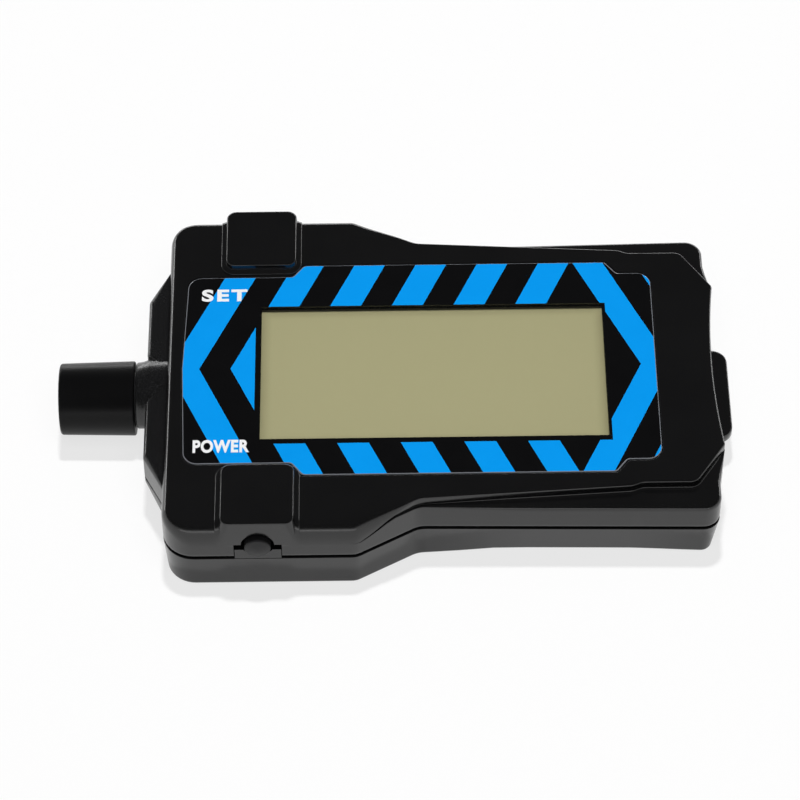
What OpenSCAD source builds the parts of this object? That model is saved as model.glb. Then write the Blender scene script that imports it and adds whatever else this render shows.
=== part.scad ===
// Pocket laser tachometer: a wide head with two side buttons and a sensor tube,
// a waisted grip, a large display under a printed face label, and a coin cell below.
// +X runs from the sensor tube to the tail, +Z is up, and z = 0 is the underside.

/* [Case outline] */
// Length of the wide head, from its left wall to the start of the waist
head_len = 25; // [22:0.5:30]
// Width of the head across its two side walls
head_w = 53.8; // [50:0.2:58]
// Corner radius at the left end of the head
head_corner_r = 4.1; // [3:0.1:5]
// Length of the slanted waist between head and grip
waist_len = 8.1; // [6:0.1:12]
// Length of the grip, from the waist to its end face
grip_len = 39.9; // [37:0.1:48]
// Width of the grip at the waist
grip_w = 44.8; // [43:0.2:48]
// Width of the grip near its end
grip_end_w = 46.2; // [44.6:0.2:49]
// Corner radius at the end of the grip
grip_corner_r = 2.3; // [1.5:0.1:4]
// Set-back of the grip's corners behind its end face
corner_set = 0.9; // [0.5:0.1:1.5]
// Run of the slanted walls between the corners and the end face
corner_run = 5; // [3:0.1:6]
// Depth of the hollow curve in the end face
end_hollow = 0.9; // [0.4:0.1:1.4]

/* [Raised deck] */
// Distance from the end face to the small step in the deck's sides
step_from_end = 12.4; // [9:0.2:15]
// Length of that step
step_len = 1.3; // [1:0.1:3]
// Width of the deck at the waist
deck_w = 44; // [42.6:0.2:44]
// Width of the deck at the step
deck_step_w = 40.6; // [40:0.2:42]
// Width of the deck behind the step
deck_end_w = 39.5; // [38:0.1:40]
// Distance from the end face to the deck's corner cuts
cut_from_end = 4.1; // [3:0.05:6]
// Width of the end face between the corner cuts
end_face_w = 27.2; // [24:0.2:30]
// Edge chamfer round the deck over the grip
deck_edge = 0.6; // [0.3:0.1:0.8]
// Edge radius round the deck over the head
head_edge = 1.7; // [1.2:0.1:1.8]
// Edge chamfer round the shoulder
shoulder_edge = 0.4; // [0.2:0.1:0.6]

/* [Heights] */
// Height of the parting line, which is also the sensor tube's axis
part_z = 5.9; // [5.7:0.1:7]
// Height of the shoulder and of the nose block
shoulder_z = 10.4; // [9.8:0.1:11.4]
// Height of the deck
deck_z = 11.8; // [11.6:0.1:13]
// Rise of the two pads above the deck
pad_rise = 1.4; // [1.2:0.1:2]
// Gap that shows as the parting line
seam = 0.2; // [0.1:0.05:0.3]

/* [Walls] */
// Thickness of the upper case's walls
wall = 1.4; // [1.2:0.1:1.6]
// Thickness of the deck's skin
skin_t = 1.5; // [1.3:0.1:1.7]
// Thickness of the floor
floor_t = 1.2; // [1:0.1:1.4]
// Inward draft of the lower head wall at the floor
head_draft = 0.35; // [0.2:0.05:0.8]
// Inward draft of the lower grip wall at the floor
grip_draft = 1.2; // [0.6:0.1:1.4]
// Thickness of the locating lip on the lower case
lip_t = 0.6; // [0.5:0.1:0.8]
// Height of the locating lip above the parting line
lip_h = 1; // [0.6:0.1:1.4]
// Clearance between pieces that locate each other
fit = 0.1; // [0.05:0.05:0.2]

/* [Nose and tail] */
// Length of the nose block in front of the head
nose_len = 2.7; // [2:0.1:4]
// Width of the nose block's face
nose_face_w = 26.8; // [20:0.2:30]
// Width of the nose block where it meets the head
nose_root_w = 37.2; // [32:0.2:40]
// Edge chamfer round the nose block
nose_edge = 0.8; // [0.4:0.1:1.2]
// Height at which the nose block runs out below
nose_low_z = 1; // [0.5:0.1:3]
// Length of the tail tongue behind the end face
tongue_len = 1.8; // [1.2:0.1:4]
// Width of the tail tongue
tongue_w = 15; // [12:0.2:18]
// Corner radius of the tail tongue
tongue_r = 2; // [1:0.1:2.5]
// Thickness of the tail tongue
tongue_t = 1.6; // [1.2:0.1:2.4]
// Drop of the tongue's top below the parting line
tongue_drop = 0.3; // [0:0.05:0.6]

/* [Sensor tube] */
// Length of the sleeve
sleeve_len = 10; // [8:0.2:14]
// Radius of the sleeve at its tip
sleeve_tip_r = 4.75; // [4.5:0.05:4.85]
// Radius of the sleeve at the neck
sleeve_root_r = 4.95; // [4.85:0.05:5.1]
// Length of the neck between sleeve and nose block
neck_len = 1.6; // [1:0.1:2.5]
// Radius of the neck at the sleeve
neck_r = 4.75; // [4.5:0.05:4.9]
// Radius of the neck at the nose block
neck_root_r = 5.15; // [4.9:0.05:5.3]
// Radius of the neck's lower half
neck_low_r = 4.05; // [4:0.05:4.2]
// Radius of the optics holder
holder_r = 3.6; // [3.4:0.05:3.7]
// Step from the optics holder out to its flange
flange_step = 0.6; // [0.4:0.1:0.6]
// Thickness of that flange
flange_t = 1.2; // [0.8:0.1:1.6]
// Radius of the lens
lens_r = 3.9; // [3.8:0.05:4]
// Thickness of the lens
lens_t = 1.6; // [1.2:0.1:2]
// Depth of the lens behind the sleeve's tip
lens_inset = 0.9; // [0.5:0.1:1.5]
// Bulge of the lens's front
lens_bulge = 0.6; // [0.3:0.1:0.8]
// Radius of the two optical parts
optic_r = 1.3; // [1.2:0.05:1.35]
// Distance between the two optical axes
optic_gap = 3.3; // [3.1:0.1:3.4]
// Length of the optical parts
optic_len = 4; // [3:0.1:6]
// Radius of the optical parts' leads
lead_r = 0.2; // [0.15:0.05:0.25]
// Length of the leads on the circuit board
lead_len = 3; // [2:0.1:4]

/* [Display] */
// Length of the window
window_len = 45.5; // [40:0.5:47]
// Height of the window
window_h = 22.7; // [20:0.1:24]
// Offset of the window's centre from the long axis
window_y = -0.65; // [-0.8:0.05:0]
// Distance from the head's left wall to the window
window_from_head = 12.5; // [11.5:0.1:14]
// Thickness of the clear window
pane_t = 0.5; // [0.4:0.1:0.9]
// Width of the ledge that carries the clear window
pane_ledge = 1; // [0.6:0.1:1.4]
// Thickness of that ledge
ledge_t = 0.3; // [0.2:0.05:0.4]
// Length of the display panel
lcd_len = 50; // [48.5:0.5:51]
// Height of the display panel
lcd_h = 28; // [26:0.2:28.4]
// Thickness of the display panel
lcd_t = 2.8; // [2.4:0.1:3]
// Width of the two rubber connector strips
strip_w = 2; // [1.4:0.1:2.2]
// Inset of the strips from the panel's long edges
strip_inset = 0.4; // [0.2:0.1:0.6]

/* [Face label] */
// Thickness of the label
label_t = 0.2; // [0.1:0.05:0.3]
// Length of the label
label_len = 62.6; // [61.5:0.2:64]
// Distance from the head's left wall to the label
label_from_head = 2.1; // [1.8:0.1:3]
// Height of the label between the waist and the step
label_h = 36; // [33:0.2:37]
// Height of the label at its two ends
label_end_h = 32; // [28:0.2:32.4]
// Distance from the label's left edge to its front step
label_step_left = 14.5; // [13:0.1:16]
// Distance from the label's right edge to its rear step
label_step_right = 4.5; // [3.5:0.1:6]
// Length of the label's steps
label_step_len = 1.5; // [1:0.1:2.5]
// Corner radius of the label
label_r = 1.9; // [1:0.1:3]
// Bulge of the label's left edge
label_bulge = 0.7; // [0.3:0.1:1]

/* [Buttons] */
// Distance from the head's left wall to the buttons' axis
button_from_head = 12.35; // [11:0.05:14]
// Height of the buttons' axis
button_z = 8.7; // [8.5:0.1:8.9]
// Radius of the button
button_r = 1.7; // [1.5:0.05:1.8]
// Length of the button that stands out of the wall
button_out = 1; // [0.6:0.1:1.6]
// Travel of the button
button_travel = 0.3; // [0.2:0.05:0.3]
// Running clearance round the button and its flange
button_gap = 0.3; // [0.2:0.05:0.35]
// Radius of the hole in the wall
button_hole_r = 2.15; // [2.1:0.05:2.3]
// Radius of the button's inner flange
flange_r = 2.1; // [1.95:0.05:2.2]
// Length of that flange
flange_len = 0.7; // [0.5:0.1:0.8]
// Width and height of the switch body
switch_w = 6; // [5.8:0.1:6.2]
// Depth of the switch body
switch_d = 3.6; // [3.4:0.1:4]
// Gap between the switch body and the wall
switch_gap = 0.3; // [0.2:0.05:0.5]
// Width of the slot in the wall below the button
slot_w = 6.2; // [5.8:0.1:6.6]
// Height of the lower case's tab in that slot
tab_h = 1.75; // [1.4:0.05:2]
// Length of the pads
pad_len = 9.5; // [8.6:0.1:11]
// Width of the pads, from the wall inwards
pad_w = 9.8; // [8.6:0.1:10]
// Flare of the pads at their foot
pad_flare = 0.6; // [0.3:0.1:0.7]
// Corner radius of the pads
pad_r = 0.9; // [0.6:0.1:1.2]
// Set-back of the pads' tops behind the wall
pad_back = 0.3; // [0.2:0.05:0.5]

/* [Circuit board] */
// Thickness of the board
board_t = 1.2; // [1:0.1:1.4]
// Clearance from the board to the lower case's walls
board_gap = 0.6; // [0.4:0.1:1]
// Distance from the end face to the board
board_from_end = 9.8; // [9.4:0.1:12]
// Side of the microcontroller
chip_w = 9; // [7:0.5:10]
// Thickness of the microcontroller
chip_t = 1.1; // [0.8:0.1:1.2]
// Leads on each side of the microcontroller
chip_leads = 11; // [8:1:14]
// Radius of the crystal's can
crystal_r = 1; // [0.8:0.1:1.2]
// Length of the crystal's can
crystal_len = 6; // [5:0.5:7]
// Gap between the crystal and the display panel
crystal_gap = 1; // [0.6:0.1:1.2]
// Distance of the crystal in from the display panel's back edge
crystal_in = 3; // [2.6:0.1:5]

/* [Coin cell] */
// Diameter of the cell
cell_d = 20; // [16:0.5:21]
// Thickness of the cell
cell_t = 3.2; // [2.8:0.1:3.2]
// Distance from the end face to the cell's axis
cell_from_end = 24.65; // [24:0.05:26]
// Clearance round the cell in its holder
cell_gap = 0.25; // [0.15:0.05:0.4]
// Wall of the cell holder
holder_wall = 1.35; // [1:0.05:1.6]
// Thickness of the spring contacts
contact_t = 0.25; // [0.2:0.05:0.3]
// Width of the spring contacts
contact_w = 4; // [2.5:0.1:5]
// Running clearance round the battery cap
cap_gap = 0.3; // [0.2:0.05:0.4]
// Gap between the battery cap and the cell
cell_lift = 0.15; // [0.1:0.05:0.25]
// Recess of the battery cap below the underside
cap_inset = 0.15; // [0.1:0.05:0.25]
// Overlap of the battery cap past the cell's edge
cap_margin = 1.7; // [1.5:0.1:2]
// Length of the battery cap's lugs past its rim
lug_len = 1.3; // [1:0.1:1.6]
// Width of the lugs
lug_w = 5; // [4:0.1:6]
// Thickness of the lugs
lug_t = 0.7; // [0.5:0.05:0.8]
// Turn that frees the battery cap
cap_turn = 60; // [45:5:75]
// Length of the coin slot
coin_slot_len = 14; // [10:0.5:16]
// Width of the coin slot
coin_slot_w = 1.8; // [1.5:0.1:2.2]

/* [Screws] */
// Radius of the case screws
case_screw_r = 1; // [0.9:0.05:1.1]
// Radius of the case screws' heads
case_head_r = 1.8; // [1.6:0.05:1.9]
// Radius of the screw bosses
boss_r = 2.7; // [2.5:0.05:2.8]
// Distance from the head's walls to its screws
head_screw_in = 5; // [4.9:0.05:5.4]
// Distance from the end face to the grip's screws
end_screw_in = 6.15; // [6:0.05:6.6]
// Distance from the deck's end walls to the grip's screws
end_screw_side = 3.75; // [3.5:0.05:4]
// Depth of the case screws' heads below the underside
case_head_inset = 0.8; // [0.6:0.1:1]
// Depth of the case screws in the upper posts
screw_bite = 4; // [3:0.1:4.1]
// Radius of the posts under the board
post_r = 2; // [1.6:0.05:2.2]
// Distance from the board's ends to its screws
board_screw_in = 2.6; // [2.4:0.1:3]
// Distance from the long axis to the board's front screws
board_screw_y = 13.5; // [12:0.1:15]
// Radius of the board screws
board_screw_r = 0.8; // [0.7:0.05:0.9]
// Radius of the board screws' heads
board_head_r = 1.6; // [1.4:0.05:1.7]
// Thickness of every screw head
screw_head_t = 1.2; // [1:0.1:1.3]

/* [Hidden] */
$fn = 48;
eps = 0.01;
overlap = 2;

// Small edges, roots and gaps of the pieces
scallop_over = 0.4;
nose_rim = 0.8;
tongue_root = 3;
pin_w = 0.3;
pin_out = 0.8;
optic_nose = 0.8;
opening_step = 0.55;
lip_over = 2;
lip_slot = 0.4;
lug_gap = 0.4;
lug_root = 0.3;
leaf_gap = 0.03;
leaf_lift = 0.8;
foot_len = 4.6;
strap_foot = 2.2;
strap_in = 3;
finger_root = 0.5;
finger_end = 1.5;
cross_len = 1.2;
cross_w = 0.24;

// Places along X, from the tip of the sleeve to the end of the tongue
total_len = sleeve_len + neck_len + nose_len + head_len + waist_len + grip_len + tongue_len;
tip_x = -total_len / 2;
sleeve_x = tip_x + sleeve_len;
nose_x = sleeve_x + neck_len;
head_x = nose_x + nose_len;
waist_x = head_x + head_len;
grip_x = waist_x + waist_len;
end_x = grip_x + grip_len;
tongue_x = end_x + tongue_len;
step_x = end_x - step_from_end;
button_x = head_x + button_from_head;
cell_x = end_x - cell_from_end;
window_x = head_x + window_from_head + window_len / 2;
label_x = head_x + label_from_head;
label_end_x = label_x + label_len;

// Angles of the waist and of the deck's corner cuts
waist_angle = atan2((head_w - grip_w) / 2, waist_len);
cut_angle = atan2((deck_end_w - end_face_w) / 2, cut_from_end);

// Heights of the pieces inside, stacked down from the skin and up from the floor
skin_z = deck_z - skin_t;
label_z = deck_z - label_t;
pane_z = label_z - pane_t;
lcd_top = pane_z - ledge_t;
lcd_z = lcd_top - lcd_t;
board_top = part_z - lead_r;
board_z = board_top - board_t;
pocket_z = board_top + switch_w + 2 * fit;
cap_top = cap_inset + floor_t;
cell_z = cap_top + cell_lift;
cell_top = cell_z + cell_t;

// Insets of the lower case's cavity
head_inset = wall + fit + lip_t;
grip_inset = max(head_inset, grip_draft + floor_t);

// Buttons
wall_y = head_w / 2;
switch_front_y = wall_y - wall - switch_gap;
switch_back_y = switch_front_y - switch_d;
switch_lip = 1.4;
switch_web = 0.7;
flange_front_y = switch_front_y - switch_lip - 2 * fit;
button_tip_y = wall_y + button_out;

// Coin cell and cap
cell_r = cell_d / 2;
well_r = cell_r + cell_gap;
ring_r = well_r + holder_wall;
opening_r = well_r + opening_step;
cap_r = cell_r + cap_margin;
cap_hole_r = cap_r + cap_gap;
lug_r = cap_r + lug_len;
lug_z = cap_top;

// Optics
holder_flange_r = holder_r + flange_step;
flange_x = head_x + head_inset + fit;
board_x0 = flange_x + flange_t + board_gap;
board_x1 = end_x - board_from_end;
holder_x0 = tip_x + lens_inset + lens_t;
optic_x1 = flange_x + flange_t - 4 * fit;

// Screw places
case_screw_places = [for (s = [-1, 1]) each [
    [head_x + head_screw_in, s * (wall_y - head_screw_in)],
    [end_x - end_screw_in, s * (deck_end_w / 2 - end_screw_side)]]];
board_screw_places = [for (s = [-1, 1]) each [
    [board_x0 + board_screw_in, s * board_screw_y],
    [board_x1 - board_screw_in, s * (lcd_h / 2 + board_head_r + board_gap)]]];

// Shift of the waist's corners when its outline is drawn in by t
function waist_shift(t) = t * tan(waist_angle / 2);

// The y at x on the straight line through points a and b
function line_y(a, b, x) = a[1] + (b[1] - a[1]) * (x - a[0]) / (b[0] - a[0]);

// Plan of the head and waist, drawn in by t; its slanted sides run on into the grip
module head_plan(t = 0) {
    r = max(head_corner_r - t, 0.5);
    hw = wall_y - t;
    left = head_x + t;
    slant_x = waist_x - waist_shift(t);
    tail_x = grip_x + overlap;
    tail_y = hw - (tail_x - slant_x) * tan(waist_angle);
    polygon([
        [left, -hw + r], [left, hw - r], [left + r, hw], [slant_x, hw], [tail_x, tail_y],
        [tail_x, -tail_y], [slant_x, -hw], [left + r, -hw]]);
    for (s = [-1, 1])
        translate([left + r, s * (hw - r)]) circle(r = r);
}

// Plan of the grip below the shoulder, drawn in by t, with its end face moved back
module grip_plan(t = 0, back = 0) {
    r = max(grip_corner_r - t, 0.5);
    ew = grip_end_w / 2 - t;
    side_x = end_x - max(corner_set, back) - t;
    face_y = end_face_w / 2;
    root_y = line_y([grip_x, grip_w / 2 - t], [side_x - r, ew], waist_x);
    polygon([
        [waist_x, -root_y], [waist_x, root_y], [side_x - r, ew],
        [side_x, ew - r], [side_x, face_y + corner_run],
        [end_x - back - t, face_y], [end_x - back - t, -face_y],
        [side_x, -face_y - corner_run], [side_x, r - ew], [side_x - r, -ew]]);
    for (s = [-1, 1])
        translate([side_x - r, s * (ew - r)]) circle(r = r);
}

// Plan of the deck over the grip's front, drawn in by t
module deck_front_plan(t = 0) {
    sw = deck_step_w / 2 - t;
    ew = deck_end_w / 2 - t;
    root_y = line_y([grip_x, deck_w / 2 - t], [step_x, sw], waist_x);
    tail_x = step_x + step_len + overlap;
    tail_y = line_y([step_x, sw], [step_x + step_len, ew], tail_x);
    polygon([
        [waist_x, -root_y], [waist_x, root_y], [step_x, sw], [tail_x, tail_y],
        [tail_x, -tail_y], [step_x, -sw]]);
}

// Plan of the deck over the grip's end, drawn in by t, with its end face moved back
module deck_end_plan(t = 0, back = 0) {
    ew = deck_end_w / 2 - t;
    cut_x = end_x - cut_from_end - t * tan(cut_angle / 2);
    face_y = end_face_w / 2 - t * tan(45 - cut_angle / 2);
    polygon([
        [grip_x, -ew], [grip_x, ew], [cut_x, ew], [end_x - back - t, face_y],
        [end_x - back - t, -face_y], [cut_x, -ew]]);
}

// Plan of the nose block, drawn in by t at its face and flanks
module nose_plan(t = 0) {
    root_x = head_x + wall / 2;
    polygon([
        [root_x, -nose_root_w / 2 + t], [head_x, -nose_root_w / 2 + t], [nose_x + t, -nose_face_w / 2 + t],
        [nose_x + t, nose_face_w / 2 - t], [head_x, nose_root_w / 2 - t], [root_x, nose_root_w / 2 - t]]);
}

// Plan of the face label, grown by g
module label_plan(g = 0) {
    h = label_h / 2 + g;
    eh = label_end_h / 2 + g;
    r = label_r + g;
    step_l = label_x + label_step_left;
    step_r = label_end_x - label_step_right;
    bulge_r = (pow(label_end_h / 2, 2) + pow(label_bulge, 2)) / (2 * label_bulge);
    intersection() {
        union() {
            polygon([
                [step_l - g, -eh], [step_l + label_step_len - g, -h], [step_r - label_step_len + g, -h],
                [step_r + g, -eh], [step_r + g, eh], [step_r - label_step_len + g, h],
                [step_l + label_step_len - g, h], [step_l - g, eh]]);
            translate([label_x - g + r, -eh]) square([label_len + 2 * (g - r), 2 * eh]);
            translate([label_x - g, -eh + r]) square([label_len + 2 * g, 2 * (eh - r)]);
            for (x = [label_x - g + r, label_end_x + g - r], s = [-1, 1])
                translate([x, s * (eh - r)]) circle(r = r);
        }
        translate([label_x - g + bulge_r, 0]) circle(r = bulge_r, $fn = 360);
    }
}

// A plan raised from z0 to z1, with its upper edge chamfered
module chamfered(z0, z1, edge) {
    hull() {
        translate([0, 0, z0]) linear_extrude(z1 - edge - z0) children(0);
        translate([0, 0, z0]) linear_extrude(z1 - z0) children(1);
    }
}

// A plan raised from z0 to z1
module raised(z0, z1) {
    translate([0, 0, z0]) linear_extrude(z1 - z0) children();
}

// A cylinder along X from x0 to x1, about the sensor axis moved sideways by y
module along_x(x0, x1, r0, r1, y = 0) {
    translate([x0, y, part_z]) rotate([0, 90, 0]) cylinder(h = x1 - x0, r1 = r0, r2 = r1);
}

// A cylinder along +Y from y0 to y1 on the button axis
module along_y(y0, y1, r) {
    translate([button_x, y0, button_z]) rotate([-90, 0, 0]) cylinder(h = y1 - y0, r = r);
}

// Children on the front wall's side and mirrored on the back wall's side
module both_sides() {
    children();
    mirror([0, 1, 0]) children();
}

// The hollow curve in the end face
module end_scallop() {
    half = end_face_w / 2 + scallop_over;
    r = (half * half + end_hollow * end_hollow) / (2 * end_hollow);
    translate([end_x - end_hollow + r, 0, -1]) cylinder(h = deck_z + 2, r = r, $fn = 720);
}

// A pad over a switch, on the back wall's side
module switch_pad() {
    inner_y = wall_y - pad_w;
    hull() {
        for (s = [-1, 1], y = [inner_y + pad_r, wall_y - pad_back - pad_r])
            translate([button_x + s * (pad_len / 2 - pad_r), y, deck_z]) cylinder(h = pad_rise, r = pad_r);
        translate([button_x - pad_len / 2 - pad_flare, inner_y - pad_flare, deck_z - head_edge])
            cube([pad_len + 2 * pad_flare, pad_w + pad_flare, head_edge]);
    }
}

// The keyhole in the head's back wall: a round hole over a slot
module wall_keyhole() {
    translate([button_x - slot_w / 2, wall_y - wall - 2 * fit, part_z - 1])
        cube([slot_w, wall + 1, button_z - part_z + 1]);
    along_y(wall_y - wall - 2 * fit, wall_y + 1, button_hole_r);
}

// Room for the switch body under a pad, on the back wall's side
module switch_pocket() {
    translate([button_x - switch_w / 2 - fit * 3, switch_back_y - fit * 3, board_z])
        cube([switch_w + fit * 6, wall_y - wall - switch_back_y + fit * 3, pocket_z - board_z]);
}

// A block over the window, grown by g, from z0 to z1
module window_block(g, z0, z1) {
    translate([window_x - window_len / 2 - g, window_y - window_h / 2 - g, z0])
        cube([window_len + 2 * g, window_h + 2 * g, z1 - z0]);
}

// A block over the display panel, grown by g, from z0 to z1
module lcd_block(g, z0, z1) {
    translate([window_x - lcd_len / 2 - g, window_y - lcd_h / 2 - g, z0])
        cube([lcd_len + 2 * g, lcd_h + 2 * g, z1 - z0]);
}

module upper_shell() {
    hull() for (a = [0 : 30 : 90])
        raised(part_z + seam, deck_z - head_edge * (1 - sin(a))) head_plan(head_edge * (1 - cos(a)));
    chamfered(part_z + seam, deck_z, deck_edge) {
        deck_front_plan();
        deck_front_plan(deck_edge);
    }
    chamfered(part_z + seam, deck_z, deck_edge) {
        deck_end_plan();
        deck_end_plan(deck_edge);
    }
    chamfered(part_z + seam, shoulder_z, shoulder_edge) {
        grip_plan();
        grip_plan(shoulder_edge);
    }
    chamfered(part_z + seam, shoulder_z, nose_edge) {
        nose_plan();
        nose_plan(nose_edge);
    }
    both_sides() switch_pad();
    intersection() {
        along_x(sleeve_x + seam, head_x + wall, neck_r, neck_root_r);
        translate([sleeve_x, -wall_y, part_z + seam]) cube([head_x - sleeve_x + wall, head_w, deck_z]);
    }
}

module upper_case() {
    color("#16171a") difference() {
        union() {
            difference() {
                upper_shell();
                raised(part_z - 1, skin_z) {
                    head_plan(wall);
                    deck_front_plan(wall);
                    deck_end_plan(wall, end_hollow);
                }
                raised(part_z - 1, shoulder_z - skin_t) grip_plan(wall, end_hollow);
                both_sides() switch_pocket();
            }
            for (place = case_screw_places)
                translate([place[0], place[1], part_z])
                    cylinder(h = skin_z - part_z + eps, r = boss_r - 2 * fit);
        }
        end_scallop();
        both_sides() wall_keyhole();
        raised(label_z, deck_z + 1) label_plan(fit);
        window_block(0, skin_z - 1, deck_z + 1);
        window_block(pane_ledge, pane_z, deck_z + 1);
        lcd_block(fit, skin_z - 1, lcd_top);
        along_x(tip_x, flange_x + 1, holder_r + fit, holder_r + fit);
        for (place = case_screw_places)
            translate([place[0], place[1], part_z - 1])
                cylinder(h = 1 + screw_bite + fit, r = case_screw_r + fit / 2);
    }
}

module lower_shell() {
    hull() {
        raised(part_z - eps, part_z) head_plan();
        raised(0, eps) head_plan(head_draft);
    }
    hull() {
        raised(part_z - eps, part_z) grip_plan();
        raised(0, eps) grip_plan(grip_draft);
    }
    hull() {
        raised(part_z - nose_rim, part_z) nose_plan();
        raised(nose_low_z, nose_low_z + eps) translate([nose_len, 0]) nose_plan(nose_len / 2);
    }
    intersection() {
        along_x(sleeve_x + seam, head_x + wall, neck_low_r, neck_low_r);
        translate([sleeve_x, -wall_y, 0]) cube([head_x - sleeve_x + wall, head_w, part_z]);
    }
}

// The lip that locates the upper case, standing on the lower case's walls
module locating_lip() {
    difference() {
        raised(part_z - eps, part_z + lip_h) {
            head_plan(wall + fit);
            grip_plan(wall + fit, end_hollow);
        }
        raised(part_z - 1, part_z + lip_h + 1) {
            head_plan(wall + fit + lip_t);
            grip_plan(wall + fit + lip_t, end_hollow);
        }
        translate([head_x, -holder_flange_r - board_gap, part_z - 1])
            cube([head_len / 2, 2 * (holder_flange_r + board_gap), lip_h + 2]);
    }
}

// The tail tongue's plan
module tongue_plan() {
    y = tongue_w / 2 - tongue_r;
    translate([end_x - tongue_root, -tongue_w / 2]) square([tongue_root + tongue_len - tongue_r, tongue_w]);
    translate([end_x - tongue_root, -y]) square([tongue_root + tongue_len, 2 * y]);
    for (s = [-1, 1])
        translate([tongue_x - tongue_r, s * y]) circle(r = tongue_r);
}

module lower_case() {
    tongue_top = part_z - tongue_drop;
    color("#141518") difference() {
        union() {
            difference() {
                union() {
                    difference() {
                        lower_shell();
                        raised(floor_t, part_z + 1) {
                            head_plan(head_inset);
                            grip_plan(grip_inset, end_hollow);
                        }
                        end_scallop();
                    }
                    locating_lip();
                }
                both_sides() switch_pocket();
            }
            both_sides() difference() {
                translate([button_x - slot_w / 2 + fit, wall_y - wall, part_z - lip_h])
                    cube([slot_w - 2 * fit, wall, lip_h + tab_h]);
                along_y(wall_y - wall - 1, wall_y + 1, button_hole_r);
            }
            raised(tongue_top - tongue_t, tongue_top) tongue_plan();
            for (place = case_screw_places)
                translate([place[0], place[1], 0]) cylinder(h = part_z, r = boss_r);
            for (place = board_screw_places)
                translate([place[0], place[1], 0]) cylinder(h = board_z, r = post_r);
        }
        along_x(tip_x, flange_x + 1, holder_r + fit, holder_r + fit);
        for (place = case_screw_places) translate([place[0], place[1], -1]) {
            cylinder(h = 1 + case_head_inset + screw_head_t, r = case_head_r + 2 * fit);
            cylinder(h = part_z + 2, r = case_screw_r + 1.5 * fit);
        }
        for (place = board_screw_places)
            translate([place[0], place[1], floor_t + fit])
                cylinder(h = board_z, r = board_screw_r + fit / 2);
        translate([cell_x, 0, -1]) {
            cylinder(h = floor_t + 2, r = cap_hole_r, $fn = 96);
            rotate([0, 0, 90 + cap_turn]) translate([-lug_r - lug_gap, -lug_w / 2 - lug_gap, 0])
                cube([2 * (lug_r + lug_gap), lug_w + 2 * lug_gap, floor_t + 2]);
        }
    }
}

module face_label() {
    color("#0a9bff") difference() {
        raised(label_z, deck_z) label_plan();
        window_block(0, skin_z, deck_z + 1);
    }
}

module display_window() {
    color("#dfe6e6", 0.4) window_block(pane_ledge - fit, pane_z, label_z);
}

module lcd_panel() {
    color("#a8a37e") lcd_block(0, lcd_z, lcd_top);
}

// A rubber connector strip between the board and the panel's back edge
module connector_strip() {
    translate([window_x - lcd_len / 2 + strip_w, lcd_h / 2 - strip_inset - strip_w, board_top])
        cube([lcd_len - 2 * strip_w, strip_w, lcd_z - board_top]);
}

module connector_strip_front() {
    color("#3a3a3c") translate([0, window_y, 0]) mirror([0, 1, 0]) connector_strip();
}

module connector_strip_back() {
    color("#3a3a3c") translate([0, window_y, 0]) connector_strip();
}

module circuit_board() {
    head_half = wall_y - head_inset - board_gap;
    grip_half = grip_w / 2 - grip_inset - board_gap;
    notch_x = head_x + head_screw_in + boss_r + board_gap;
    notch_y = wall_y - head_screw_in - boss_r - board_gap;
    color("#1f6b3a") difference() {
        raised(board_z, board_top) difference() {
            union() {
                translate([board_x0, -head_half]) square([waist_x - board_gap - board_x0, 2 * head_half]);
                translate([board_x0, -grip_half]) square([board_x1 - board_x0, 2 * grip_half]);
            }
            for (s = [-1, 1]) translate([board_x0 - 1, s > 0 ? notch_y : -head_half - 1])
                square([notch_x - board_x0 + 1, head_half - notch_y + 1]);
        }
        translate([cell_x, 0, 0]) cylinder(h = deck_z, r = opening_r, $fn = 96);
        for (place = board_screw_places)
            translate([place[0], place[1], 0]) cylinder(h = deck_z, r = board_screw_r + 2 * fit);
    }
}

module microcontroller() {
    centre_x = (window_x - lcd_len / 2 + cell_x - ring_r) / 2;
    pitch = chip_w / (chip_leads + 1);
    color("#202022") translate([centre_x, 0, board_top]) {
        translate([-chip_w / 2, -chip_w / 2, fit]) cube([chip_w, chip_w, chip_t]);
        for (turn = [0 : 90 : 270], i = [1 : chip_leads])
            rotate([0, 0, turn]) translate([chip_w / 2 - pin_w, -chip_w / 2 + i * pitch - pin_w / 2, 0])
                cube([pin_w + pin_out, pin_w, pin_w]);
    }
}

module crystal() {
    crystal_x = window_x - lcd_len / 2 - crystal_gap - crystal_r;
    crystal_y = window_y + lcd_h / 2 - crystal_in - crystal_len;
    color("#c8c8cc") translate([crystal_x, crystal_y, board_top + crystal_r])
        rotate([-90, 0, 0]) cylinder(h = crystal_len, r = crystal_r);
}

// A side-acting switch body, on the back wall's side
module switch_body() {
    difference() {
        translate([button_x - switch_w / 2, switch_back_y, board_top]) cube([switch_w, switch_d, switch_w]);
        along_y(switch_back_y + switch_web, switch_front_y - switch_lip, flange_r + button_gap);
        along_y(switch_back_y + switch_web, switch_front_y + 1, button_r + button_gap);
    }
}

// A button with a domed end and an inner flange, on the back wall's side
module button() {
    dome_r = 2 * button_r;
    along_y(flange_front_y - flange_len, flange_front_y, flange_r);
    intersection() {
        along_y(flange_front_y - flange_len, button_tip_y, button_r);
        translate([button_x, button_tip_y - dome_r, button_z]) rotate([-90, 0, 0]) union() {
            sphere(r = dome_r);
            translate([0, 0, -2 * dome_r]) cylinder(h = 2 * dome_r, r = dome_r);
        }
    }
}

module power_switch_body() {
    color("#26262a") mirror([0, 1, 0]) switch_body();
}

module power_button() {
    color("#333539") mirror([0, 1, 0]) button();
}

module set_switch_body() {
    color("#26262a") switch_body();
}

module set_button() {
    color("#333539") button();
}

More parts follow.
